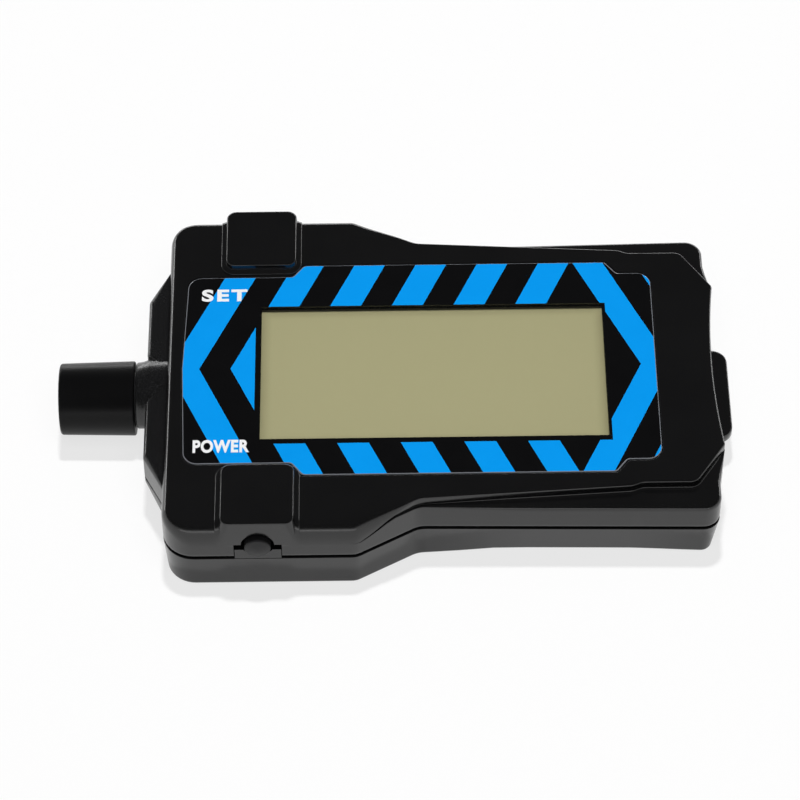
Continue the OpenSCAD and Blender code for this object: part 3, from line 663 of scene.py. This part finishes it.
def label_outline(grow):
    """The label's outline, grown: a bulged left edge, a step at each end of its long sides."""
    left, right = label_low.x - grow, label_high.x + grow
    high, end_high = label_half + grow, label_end_half + grow
    corners = [(left, 0), (left + label_bulge, end_high), (step_l - grow, end_high),
               (step_l + step_run - grow, high), (step_r - step_run + grow, high), (step_r + grow, end_high),
               (right, end_high), (right, 0)]
    return mirrored(rounded(corners, [label_r + grow] + [label_step_r] * 4 + [label_r + grow]))


def block_outline(low, high, grow):
    corners = [(low.x - grow, low.y - grow), (low.x - grow, high.y + grow),
               (high.x + grow, high.y + grow), (high.x + grow, low.y - grow)]
    return [Vector(corner) for corner in corners]


lcd_low, lcd_high = [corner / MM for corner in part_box("lcd_panel")]
fit = 0.1
recess_edge = 0.2
label_gap = label_outline(fit)
window_hole = block_outline(window_low, window_high, 0.0)
pane_hole = block_outline(window_low, window_high, pane_ledge + fit)
lcd_hole = block_outline(lcd_low, lcd_high, fit)
recess_rings = [at_height(label_outline(fit + recess_edge * (1 - sine)), deck_z - recess_edge * (1 - cosine))
                for cosine, sine in quarter(4)]
print("recess", len(label_gap), "points, display top at", lcd_high.z)

# %% Upper skin, whole
inner_foot = moved_out(case_outline(foot_side, 2.6), -wall)
inner_deck = moved_out(case_outline(deck_side, 2.6), -wall)
inner_rings = [at_height(inner_deck, skin_z), at_height(inner_deck, shoulder_z - 1.5),
               at_height(inner_foot, shoulder_z - 1.5), at_height(inner_foot, low_z)]
upper = Skin()
upper.stack(inner_rings + upper_rings)
upper.plate(upper_rings[-1], recess_rings[0])
upper.stack(recess_rings + [at_height(label_gap, label_low.z)])
upper.shelf(label_gap, pane_hole, label_low.z)
upper.wall(pane_hole, label_low.z, pane_low.z)
upper.shelf(pane_hole, window_hole, pane_low.z)
upper.wall(window_hole, pane_low.z, lcd_high.z)
upper.shelf(lcd_hole, window_hole, lcd_high.z)
upper.wall(lcd_hole, lcd_high.z, skin_z)
upper.shelf(inner_deck, lcd_hole, skin_z)
upper_skin = upper.piece("upper_skin")

# %% [markdown]
# ## Pads, nose and neck
# Two pads make room for the switches. They stand flush with the head's walls. A small step runs
# round the foot of their other three sides and follows the deck down over its rounded edge. The nose
# block and the half round neck carry the sensor tube. All are closed solids that run into the skin,
# which is how the mould's own cavities meet.

# %% Pads over the switches
button_low, button_high = [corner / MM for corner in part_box("set_button")]
button_x = (button_low.x + button_high.x) / 2
button_z = (button_low.z + button_high.z) / 2
pad_half, pad_in, pad_rise = 4.75, 9.8, upper_high.z - deck_z
pad_flare, pad_r, pad_edge = 0.7, 1.2, 0.35
pad_step, step_edge = 0.3, 0.2
pad_sunk, pad_behind = 0.4, 0.05
root_out, root_up, root_follow = 0.08, 0.16, 0.9
side_lead, side_steps = 0.2, 8


def edge_drop(spot_y):
    """How far the head's rounded edge lies below the deck at that distance from the axis."""
    past = max(spot_y - (wall_y - head_run), 0.0) / head_run
    return head_drop * (1 - math.sqrt(max(1 - past ** 2, 0.0)))


def pad_ring(grow, drawn, lift, follow):
    """A pad's outline: three sides grown, the wall's side drawn in, lifted from the deck's surface."""
    near, far = wall_y - pad_in - grow, wall_y - drawn
    half_len, wall_r = pad_half + grow, pad_r - follow
    corner_in, corner_out = Vector((half_len, near)), Vector((half_len, far))
    chain = [Vector((0, near))] + corner_arc(Vector((0, near)), corner_in, corner_out, pad_r + grow)
    start, end = wall_y - head_run - side_lead, far - wall_r
    chain += [Vector((half_len, start + (end - start) * step / side_steps)) for step in range(side_steps)]
    chain += corner_arc(corner_in, corner_out, Vector((0, far)), wall_r) + [Vector((0, far))]
    chain += [Vector((-point.x, point.y)) for point in reversed(chain[1:-1])]
    return [(button_x + point.x, point.y, deck_z + lift - follow * edge_drop(point.y)) for point in chain]


def pad_skin(side):
    rings = [pad_ring(pad_flare, pad_behind, -pad_sunk, 1.0)]
    for cosine, sine in quarter(4):
        grow = pad_flare - step_edge * (1 - cosine)
        rings.append(pad_ring(grow, 0.0, pad_step - step_edge * (1 - sine), 1.0))
    rings.append(pad_ring(root_out, 0.0, pad_step + root_up, root_follow))
    for cosine, sine in quarter():
        inset = pad_edge * (1 - cosine)
        rings.append(pad_ring(-inset, inset, pad_rise - pad_edge * (1 - sine), 0.0))
    skin = Skin()
    skin.solid([[(px, py * side, pz) for px, py, pz in ring] for ring in rings])
    return skin.piece("pad")


pads = [pad_skin(1), pad_skin(-1)]

# %% Nose block and neck
sleeve_low, sleeve_high = [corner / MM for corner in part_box("sensor_sleeve")]
tip_x, sleeve_x = sleeve_low.x, sleeve_high.x
nose_x = sleeve_x + 1.6
nose_root_y, nose_face_y, nose_edge = 18.6, 13.4, 0.8
notch_y, notch_d = 3.9, 0.9
nose_sunk, seam_edge = 0.7, 0.12
nose_radii = [0.05, 0.3, 1.2, 1.0, 0.2]


def nose_ring(drawn, level, shift=0.0):
    face_x = nose_x + drawn + shift
    root_x, root_y = head_x + nose_sunk, nose_root_y - drawn
    corners = [(root_x, 0), (root_x, root_y), (head_x, root_y), (face_x, nose_face_y - drawn),
               (face_x, notch_y), (face_x + notch_d, notch_y - notch_d), (face_x + notch_d, 0)]
    return at_height(list(reversed(mirrored(rounded(corners, nose_radii)))), level)


def half_rod(profile, side):
    """Half a round rod along X, above or below the parting plane, from (x, radius, fillet) triples."""
    gap = seam if side > 0 else 0.0
    rings = []
    for place, radius, fillet in profile:
        first = math.asin(gap / radius)
        turns = [first + (math.pi - 2 * first) * step / 120 for step in range(121)]
        rings.append([])
        for turn in turns:
            height = part_z + side * radius * math.sin(turn)
            near = min(max(1 - (height - shoulder_z) / fillet, 0.0), 1.0) if fillet else 0.0
            wider = 1 + fillet * (1 - math.sqrt(1 - near ** 2)) / radius
            rings[-1].append((place, radius * math.cos(turn) * wider, height))
    skin = Skin()
    skin.stack(rings)
    skin.cap(rings[0])
    skin.cap(rings[-1])
    return skin.piece("neck")


nose = Skin()
nose_rings = [nose_ring(seam_edge, low_z), nose_ring(0.0, low_z + seam_edge)]
for cosine, sine in quarter():
    nose_rings.append(nose_ring(nose_edge * (1 - cosine), shoulder_z - nose_edge * (1 - sine)))
nose.solid(nose_rings)
nose_block = nose.piece("nose")
neck_start = sleeve_x + seam
neck = half_rod([(neck_start, 4.63, 0), (neck_start + seam_edge, 4.75, 0), (nose_x - 0.5, 4.86, 0),
                 (nose_x - 0.1, 4.95, 0.1), (nose_x + 0.4, 5.07, 0.35), (head_x + wall, 5.15, 0.4)], 1)

# %% [markdown]
# ## Keyholes and bosses
# Each side wall has a keyhole: a round hole for the button over a slot that the lower half's tab
# closes. Inside, the skin is hollowed for the switches, and four bosses take the case screws.

# %% Cut the upper half
slot_half, hole_r, switch_half = 3.1, 2.15, 3.3
switch_back, room_top = wall_y - 5.6, deck_z + 0.1
holder_r = 3.7


def keyhole_cutters(side):
    """A slot, a hole and the room for a switch."""
    def across(near, far):
        return sorted((near * side, far * side))

    low_y, high_y = across(wall_y - wall - 0.2, wall_y + 1)
    slot = box_skin((button_x - slot_half, low_y, part_z - 1), (button_x + slot_half, high_y, button_z))
    hole = rod_skin((button_x, low_y, button_z), (button_x, high_y, button_z), hole_r)
    low_y, high_y = across(switch_back, wall_y - wall)
    room = box_skin((button_x - switch_half, low_y, part_z - 2), (button_x + switch_half, high_y, room_top))
    return [slot, hole, room]


keyholes = [keyhole_cutters(1), keyhole_cutters(-1)]
bore = rod_skin((tip_x, 0, part_z), (head_x + 3.2, 0, part_z), holder_r)
cut(upper_skin, keyholes[0] + keyholes[1] + [bore])
for pad, keyhole in zip(pads, keyholes):
    cut(pad, keyhole[1:])
for block in (nose_block, neck):
    cut(block, [bore])

# %% Bosses and the finished half
head_screw_x, head_screw_y = head_x + 5, wall_y - 5
end_screw_x, end_screw_y = end_x - 6.15, 16.0
case_screw_places = [(head_screw_x, head_screw_y), (head_screw_x, -head_screw_y),
                     (end_screw_x, end_screw_y), (end_screw_x, -end_screw_y)]


def tube(place, low, high, radius, bore_r):
    """A boss with a hole, standing at a place in plan."""
    profile = [(low, bore_r), (low, radius), (high, radius), (high, bore_r), (low, bore_r)]
    return turned("boss", profile, (*place, 0), (0, 0, 1), 48)


upper_bosses = [tube(place, part_z, skin_z + 0.01, 2.5, 1.05) for place in case_screw_places]
upper_case = joined("upper_case_shell", [upper_skin, nose_block, neck, *pads, *upper_bosses])
finished(upper_case, case_plastic, "case", "case_black", "upper_case")

# %% [markdown]
# ## Lower case
# The lower half leans in towards the table, a little on the head and more on the grip, and ends in a
# soft edge round the underside. The same rings serve, drawn in more and more on the way down.

# %% Lower skin
floor_t, bottom_r = 1.2, 0.5
rim, head_lean, grip_lean, end_less = 0.12, 0.35, 1.2, 0.4


def leaning(point):
    """How far the wall leans in at the floor: little on the head, more on the grip, less at its end."""
    on_grip = head_lean + (grip_lean - head_lean) * smooth((point.x - grip_x) / 12.0)
    return on_grip - end_less * smooth((point.x - end_x + 14.0) / 13.0)


leans = [leaning(point) for point in foot_ring]
lower_rings = []
for cosine, sine in quarter():
    inset = [-(lean + bottom_r * (1 - sine)) for lean in leans]
    lower_rings.append(at_height(moved_out(foot_ring, inset), bottom_r * (1 - cosine)))
for level in (bottom_r + guard, part_z - rim - guard, part_z - rim):
    left_over = 1 - (level - bottom_r) / (part_z - rim - bottom_r)
    lower_rings.append(at_height(moved_out(foot_ring, [-lean * left_over for lean in leans]), level))
lower_rings.append(at_height(moved_out(foot_ring, -rim), part_z))
thick_foot = case_outline(foot_side, 3.3)
inner_low = moved_out(thick_foot, [-(1.9 + lean / 2) for lean in leans])
lower = Skin()
lower.stack(lower_rings + [at_height(inner_low, part_z), at_height(inner_low, floor_t)])
lower.plate(lower_rings[0])
lower.plate(at_height(inner_low, floor_t))
lower_skin = lower.piece("lower_skin")

# %% Lip, nose, neck and tongue
lip_out, lip_in = [moved_out(case_outline(foot_side, 3.0), -inset) for inset in (1.5, 2.1)]
lip_low, lip_high = part_z - 0.3, part_z + 1.0
lip = Skin()
lip.stack([at_height(lip_in, lip_low), at_height(lip_out, lip_low), at_height(lip_out, lip_high),
           at_height(lip_in, lip_high), at_height(lip_in, lip_low)])
lip_wall = lip.piece("lip")
slope, nose_foot_z, nose_wall_h = (head_x - nose_x) / 2, 1.0, 0.8
low_nose = Skin()
low_nose.solid([nose_ring(slope, nose_foot_z, slope), nose_ring(0.0, part_z - nose_wall_h),
                nose_ring(0.0, part_z - seam_edge), nose_ring(seam_edge, part_z)])
lower_nose = low_nose.piece("lower_nose")
low_neck = half_rod([(neck_start, 3.93, 0), (neck_start + seam_edge, 4.05, 0), (head_x + wall, 4.05, 0)], -1)
tongue_x, tongue_half, tongue_top, tongue_t, tongue_edge = lower_high.x, 7.5, 5.6, 1.6, 0.3


def tongue_ring(drawn, level):
    corners = [(end_x - 3, 0), (end_x - 3, tongue_half - drawn), (tongue_x - drawn, tongue_half - drawn),
               (tongue_x - drawn, 0)]
    return at_height(mirrored(rounded(corners, [0.05, 2.0])), level)


tongue = Skin()
tongue_rings = []
for cosine, sine in quarter(3):
    level = tongue_top - tongue_t + tongue_edge * (1 - cosine)
    tongue_rings.append(tongue_ring(tongue_edge * (1 - sine), level))
for cosine, sine in quarter(3):
    tongue_rings.append(tongue_ring(tongue_edge * (1 - cosine), tongue_top - tongue_edge * (1 - sine)))
tongue.solid(tongue_rings)
tail_tongue = tongue.piece("tongue")

# %% Tabs, bosses and posts
tab_half, tab_top = slot_half - fit, part_z + 1.75
tabs = []
for side, keyhole in zip((1, -1), keyholes):
    low_y, high_y = sorted(((wall_y - wall) * side, (wall_y - 0.05) * side))
    tab = box_skin((button_x - tab_half, low_y, part_z - 1), (button_x + tab_half, high_y, tab_top))
    cut(tab, keyhole[1:2])
    tabs.append(tab)
board_low, board_high = [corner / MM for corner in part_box("circuit_board")]
board_screw_places = [(board_low.x + 2.6, 13.5), (board_low.x + 2.6, -13.5),
                      (board_high.x - 2.6, 16.2), (board_high.x - 2.6, -16.2)]
lower_bosses = [tube(place, 1.0, part_z, 2.7, 1.15) for place in case_screw_places]
posts = [tube(place, 1.0, board_low.z, 2.0, 0.85) for place in board_screw_places]
print("board screws", board_screw_places)

# %% Cut the lower half
cap_low, cap_high = [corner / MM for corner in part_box("battery_cap")]
cap_x = (cap_low.x + cap_high.x) / 2
cap_hole_r, lug_reach, lug_half, lug_turn = 12.0, 13.4, 2.9, 150
opening = rod_skin((cap_x, 0, -1), (cap_x, 0, floor_t + 1), cap_hole_r, 96)
notch = box_skin((-lug_reach, -lug_half, -1), (lug_reach, lug_half, floor_t + 1))
notch.data.transform(Matrix.Translation((cap_x * MM, 0, 0)) @ Matrix.Rotation(math.radians(lug_turn), 4, "Z"))
wells = [rod_skin((px, py, -1), (px, py, 2.0), 2.0, 48) for px, py in case_screw_places]
gate = box_skin((head_x, -4.8, part_z - 1), (head_x + 12, 4.8, part_z + 2))
rooms = [keyhole[2] for keyhole in keyholes]
cut(lower_skin, [opening, notch, bore, *rooms, *wells])
cut(lip_wall, [gate, *rooms])
for boss, well in zip(lower_bosses, wells):
    cut(boss, [well])
for block in (lower_nose, low_neck):
    cut(block, [bore])
discard([opening, notch, bore, gate, *wells, *keyholes[0], *keyholes[1]])
lower_case = joined("lower_case_shell", [
    lower_skin, lip_wall, lower_nose, low_neck, tail_tongue, *tabs, *lower_bosses, *posts])
finished(lower_case, case_plastic, "case", "case_black", "lower_case")

# %% [markdown]
# ## Turned pieces
# The sensor sleeve and the two buttons are round, so each is a profile spun about its axis. Spinning
# gives an even mesh and lets the rim carry the small radius that catches the light.


# %% Sleeve and buttons
def rim_arc(distance, radius, edge, outward):
    """A rounded rim that turns from an end face into a wall."""
    arc = []
    for cosine, sine in reversed(quarter(4)):
        arc.append((distance + outward * edge * (1 - sine), radius - edge * (1 - cosine)))
    return arc


sleeve_len = sleeve_x - tip_x
tip_r, root_r, seat_r, seat_len, bore_r = 4.75, 4.95, 4.0, 2.5, 3.7
sleeve_profile = [(seat_len, bore_r), (seat_len, seat_r), (0.15, seat_r), (0.0, seat_r + 0.15)]
sleeve_profile += rim_arc(0.0, tip_r, 0.35, 1)
sleeve_profile += list(reversed(rim_arc(sleeve_len, root_r, 0.25, -1)))
sleeve_profile += [(sleeve_len, bore_r), (seat_len, bore_r)]
sleeve = turned("sensor_tube", sleeve_profile, (tip_x, 0, part_z), (1, 0, 0))
finished(sleeve, sleeve_plastic, "case", "case_black", "sensor_sleeve")
for node, side, body in (("power_button", -1, "power_key"), ("set_button", 1, "set_key")):
    low, high = [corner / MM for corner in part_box(node)]
    length = high.y - low.y
    profile = [(0.0, 0.0), (0.0, 2.1), (0.7, 2.1), (0.7, 1.7)]
    profile += list(reversed(rim_arc(length - 0.25, 1.7, 0.25, -1)))
    profile += [(length - 0.12, 1.0), (length - 0.03, 0.5), (length, 0.0)]
    start_y = low.y if side > 0 else high.y
    key = turned(node + "_cap", profile, (button_x, start_y, button_z), (0, side, 0), 64)
    finished(key, button_plastic, body, "button_grey", node)

# %% [markdown]
# ## Screws
# Four screws hold the halves together and four hold the board. They are all one shape in two sizes,
# which is what Geometry Nodes are good at: the tree builds one screw from named sizes and puts a
# copy at every point that it is given. The copies are made real, because an export drops instances.

# %% The screw tree
tree = bpy.data.node_groups.new("cross_head_screws", "GeometryNodeTree")
tree.interface.new_socket("Places", in_out="INPUT", socket_type="NodeSocketGeometry")
inputs = {}
for name in ("Head Radius", "Head Height", "Shank Radius", "Shank Length", "Direction", "Finish"):
    kind = "NodeSocketMaterial" if name == "Finish" else "NodeSocketFloat"
    inputs[name] = tree.interface.new_socket(name, in_out="INPUT", socket_type=kind).identifier
tree.interface.new_socket("Screws", in_out="OUTPUT", socket_type="NodeSocketGeometry")
screws = Finish("screws", tree)
group_in = tree.nodes.new("NodeGroupInput")


def given(name):
    return Wire(screws, group_in.outputs[name])


def lifted(geometry, height):
    offset = screws.node("ShaderNodeCombineXYZ", None, {2: height})
    return screws.node("GeometryNodeTransform", None, {"Geometry": geometry, "Translation": offset})


def together(*parts):
    whole = screws.node("GeometryNodeJoinGeometry")
    for part in parts:
        tree.links.new(part.socket, whole.socket.node.inputs[0])
    return whole


head_r, head_h = given("Head Radius"), given("Head Height")
collar_h = head_h * 0.6
collar = screws.node("GeometryNodeMeshCylinder", None, {"Vertices": 40, "Radius": head_r, "Depth": collar_h})
crown = screws.node("GeometryNodeMeshCone", None, {
    "Vertices": 40, "Radius Top": head_r * 0.78, "Radius Bottom": head_r, "Depth": head_h * 0.4})
shank = screws.node("GeometryNodeMeshCylinder", None, {
    "Vertices": 28, "Radius": given("Shank Radius"), "Depth": given("Shank Length")})
print("screw tree has", len(tree.nodes), "nodes so far")

# %% Cross slot, copies and output
heads = together(lifted(collar, collar_h * 0.5), lifted(crown, collar_h))
bars = []
for wide, deep in ((head_r * 1.2, head_r * 0.26), (head_r * 0.26, head_r * 1.2)):
    size = screws.node("ShaderNodeCombineXYZ", None, {0: wide, 1: deep, 2: head_h})
    bars.append(lifted(screws.node("GeometryNodeMeshCube", None, {"Size": size}), head_h))
slotted = screws.node("GeometryNodeMeshBoolean", {"operation": "DIFFERENCE", "solver": "EXACT"}, {
    "Mesh 1": heads, "Mesh 2": together(*bars), "Self Intersection": True})
screw_parts = together(slotted, lifted(shank, given("Shank Length") * -0.5))
facing = screws.node("ShaderNodeCombineXYZ", None, {0: given("Direction")})
copies = screws.node("GeometryNodeInstanceOnPoints", None, {
    "Points": given("Places"), "Instance": screw_parts, "Rotation": facing})
solid_copies = screws.node("GeometryNodeRealizeInstances", None, {"Geometry": copies})
dressed = screws.node("GeometryNodeSetMaterial", None, {
    "Geometry": solid_copies, "Material": given("Finish")})
group_out = tree.nodes.new("NodeGroupOutput")
tree.links.new(dressed.socket, group_out.inputs[0])
print("screw tree has", len(tree.nodes), "nodes")


# %% Place the screws
def screw_set(name, node, places, level, sizes):
    data = bpy.data.meshes.new(name)
    data.from_pydata([(px * MM, py * MM, level * MM) for px, py in places], [], [])
    made = linked(name, data)
    nodes_modifier = made.modifiers.new("screws", "NODES")
    nodes_modifier.node_group = tree
    for key, value in sizes.items():
        nodes_modifier[inputs[key]] = value
    as_mesh(made)
    finished(made, screw_steel, "case", "screw_steel", node)


case_low, case_high = [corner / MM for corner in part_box("case_screws")]
head_t = 1.2
screw_set("case_screw_set", "case_screws", case_screw_places, case_low.z + head_t, {
    "Head Radius": 1.8 * MM, "Head Height": head_t * MM, "Shank Radius": 1.0 * MM,
    "Shank Length": (case_high.z - case_low.z - head_t) * MM, "Direction": math.pi, "Finish": screw_steel})
fix_low, fix_high = [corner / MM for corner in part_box("board_screws")]
screw_set("board_screw_set", "board_screws", board_screw_places, fix_high.z - head_t, {
    "Head Radius": 1.6 * MM, "Head Height": head_t * MM, "Shank Radius": 0.8 * MM,
    "Shank Length": (fix_high.z - fix_low.z - head_t) * MM, "Direction": 0.0, "Finish": screw_steel})

# %% [markdown]
# ## Legends
# The two plain words beside the buttons are white ink on the film. Letters come from a text object,
# made a mesh and then fitted to the small rectangle that each word fills on the label.


# %% Words on the label
def printed_word(word, spacing, left, right, low, high):
    text = bpy.data.curves.new(word, "FONT")
    text.body = word
    text.space_character = spacing
    text.offset = 0.04
    text.extrude = 0.01
    holder = linked("holder", text)
    bpy.context.view_layer.update()
    data = bpy.data.meshes.new_from_object(holder.evaluated_get(bpy.context.evaluated_depsgraph_get()))
    bpy.data.objects.remove(holder)
    xs = [corner.co.x for corner in data.vertices]
    ys = [corner.co.y for corner in data.vertices]
    for corner in data.vertices:
        corner.co.x = (left + (right - left) * (corner.co.x - min(xs)) / (max(xs) - min(xs))) * MM
        corner.co.y = (low + (high - low) * (corner.co.y - min(ys)) / (max(ys) - min(ys))) * MM
        corner.co.z = (deck_z + (ink_top if corner.co.z > 0 else ink_foot)) * MM
    made = linked("legend_" + word.lower(), data)
    data.materials.append(legend_ink)
    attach(made, "case")
    print("printed", word, len(data.polygons), "faces")


ink_foot, ink_top = 0.002, 0.025
printed_word("SET", 1.25, label_low.x + 2.35, label_low.x + 8.45, 11.75, 13.9)
printed_word("POWER", 1.1, label_low.x + 1.75, label_low.x + 9.1, -14.2, -12.05)

# %% [markdown]
# ## The label's film
# The label is a stamped film that lies in its recess with a hair's breadth to spare. Its upper edge is
# broken all round. The cut edge is painted pale, partly as its own colour and partly as a painted
# highlight beside the black plastic.

# %% Film with a broken edge
film_edge = 0.10
film_outline = label_outline(0.0)
film_skin = Skin()
film_skin.stack([at_height(film_outline, label_low.z), at_height(film_outline, label_high.z - film_edge / 2),
                 at_height(label_outline(-film_edge), label_high.z)])
film_skin.shelf(label_outline(-film_edge), window_hole, label_high.z)
film_skin.wall(window_hole, label_high.z, label_low.z)
film_skin.shelf(film_outline, window_hole, label_low.z)
label_film = film_skin.piece("label_film")
label_film.data.shade_flat()
label_film.data.materials.append(label_print)
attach(label_film, "case")
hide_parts("face_label")

# %% [markdown]
# ## Finishes for the pieces that keep their solid
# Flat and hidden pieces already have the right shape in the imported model. They only need a finish,
# which goes into their material slots.

# %% Dress the remaining nodes
finishes = {
    "display_window": clear_pane, "lcd_panel": display_olive,
    "connector_strip_front": strip_rubber, "connector_strip_back": strip_rubber,
    "circuit_board": board_lacquer, "microcontroller": chip_epoxy, "crystal": can_steel,
    "power_switch_body": inner_plastic, "set_switch_body": inner_plastic, "nose_lens": lens_red,
    "optics_holder": inner_plastic, "laser_diode": contact_brass, "photodiode": chip_epoxy,
    "coin_cell": can_steel, "cell_holder": inner_plastic, "positive_contact": contact_brass,
    "negative_contact": contact_brass, "battery_cap": case_plastic,
}
for name, material in finishes.items():
    nodes[name].data.materials.clear()
    nodes[name].data.materials.append(material)
print("dressed", len(finishes), "nodes")

# %% [markdown]
# ## Floor and background
# The object lies on white paper in a white room with a dark ceiling. The paper is lit like
# everything else, and for the camera and in mirrors part of its white is its own glow, so that the
# shadow stays pale. From below it is clear, so that the underside can be looked at. For the camera
# the room is white all round. What the plastic mirrors is white only low down, which draws the thin
# bright lines along its edges and leaves the deck black.

# %% Paper floor and world
glow_seen, glow_mirrored = 0.72, 0.55
floor_half, floor_drop = 2000, 0.02
paper = Finish("white_paper")
seen = paper.node("ShaderNodeLightPath", output="Is Camera Ray")
in_mirror = paper.node("ShaderNodeLightPath", output="Is Glossy Ray")
fibre = paper.blend(paper.noise(1.5), (0.96, 0.96, 0.96, 1.0), (0.98, 0.98, 0.98, 1.0))
matte = paper.node("ShaderNodeBsdfDiffuse", None, {"Color": fibre})
glow = paper.node("ShaderNodeEmission", None, {"Color": (1.0, 1.0, 1.0, 1.0), "Strength": 1.0})
glow_share = seen * glow_seen + in_mirror * glow_mirrored
mixed = paper.node("ShaderNodeMixShader", None, {0: glow_share, 1: matte, 2: glow})
below = paper.node("ShaderNodeNewGeometry", output="Backfacing")
clear = paper.node("ShaderNodeBsdfTransparent")
one_sided = paper.node("ShaderNodeMixShader", None, {0: below, 1: mixed, 2: clear})
paper.node("ShaderNodeOutputMaterial", None, {0: one_sided})
floor_skin = Skin()
floor_skin.cap([(floor_half * right, floor_half * up, -floor_drop)
                for right, up in ((-1, -1), (1, -1), (1, 1), (-1, 1))])
floor = floor_skin.piece("floor")
floor.data.materials.append(paper.material)
world = bpy.data.worlds.new("studio")
bpy.context.scene.world = world
world.use_nodes = True
sky = Finish("studio", world.node_tree)
seen = sky.node("ShaderNodeLightPath", output="Is Camera Ray")
towards = sky.node("ShaderNodeTexCoord", output="Generated")
height = sky.node("ShaderNodeSeparateXYZ", None, {0: towards}, 2)
wall_white, ceiling_dark = 0.90, 0.05
room = sky.ramp(height, 0.10, 0.30, wall_white, ceiling_dark)
backdrop = sky.node("ShaderNodeBackground", None, {
    "Color": (1.0, 1.0, 1.0, 1.0), "Strength": seen + (1.0 - seen) * room})
sky.node("ShaderNodeOutputWorld", None, {0: backdrop})
print("floor and world ready")

# %% [markdown]
# ## Light
# Black plastic shows its shape by what it mirrors, so two kinds of lamp share the work. A small lamp
# nearly overhead and a broad one in front light the scene, and the small one drops the short crisp
# shadow. Neither shows in the gloss, which keeps the deck black. Low strips at the sides, the back and
# the front do nothing else: they are mirrored in the rounded edges as thin bright lines. They stand so
# near the table that the flat deck mirrors them only when it is seen from very low down.


# %% Lamps
def soft_lamp(name, place, width, height, power, lights):
    """A lamp that either lights the scene or only shows as a highlight."""
    data = bpy.data.lights.new(name, "AREA")
    data.shape = "RECTANGLE"
    data.size = width
    data.size_y = height
    data.energy = power
    lamp = linked(name, data)
    lamp.location = place
    lamp.rotation_euler = (-Vector(place)).to_track_quat("-Z", "Y").to_euler()
    lamp.visible_diffuse = lights
    lamp.visible_glossy = not lights


soft_lamp("front", (0.05, -0.35, 0.75), 0.60, 0.45, 1.7, True)
soft_lamp("overhead", (0.0, 0.12, 0.80), 0.05, 0.04, 4.7, True)
soft_lamp("low", (0.0, -0.75, 0.06), 0.90, 0.08, 0.4, False)
soft_lamp("left", (-0.62, 0.50, 0.06), 0.36, 0.07, 0.55, False)
soft_lamp("right", (0.62, 0.50, 0.06), 0.36, 0.07, 0.55, False)
soft_lamp("back", (0.0, 0.70, 0.055), 0.70, 0.06, 0.90, False)
print("six lamps")

# %% [markdown]
# ## Camera
# The camera stands where the photograph was taken from: about fifty degrees above the table, far
# away with a long lens, so the long edges hardly converge.

# %% Camera
elevation, turned_by, roll = math.radians(50.5), math.radians(-0.15), math.radians(0.58)
look_at = Vector((label_low.x + 28.73, -5.7, deck_z)) * MM
distance = 0.47815
aim = Matrix.Rotation(turned_by, 4, "Z") @ Matrix.Rotation(math.pi / 2 - elevation, 4, "X")
data = bpy.data.cameras.new("camera")
data.lens = 164.25
data.sensor_width = 36
data.clip_start = 0.01
camera = linked("camera", data)
place = look_at + aim @ Vector((0, 0, distance))
camera.matrix_world = Matrix.Translation(place) @ aim @ Matrix.Rotation(-roll, 4, "Z")
bpy.context.scene.camera = camera
bpy.context.scene.view_settings.view_transform = "Standard"
print("camera at", camera.matrix_world.translation)
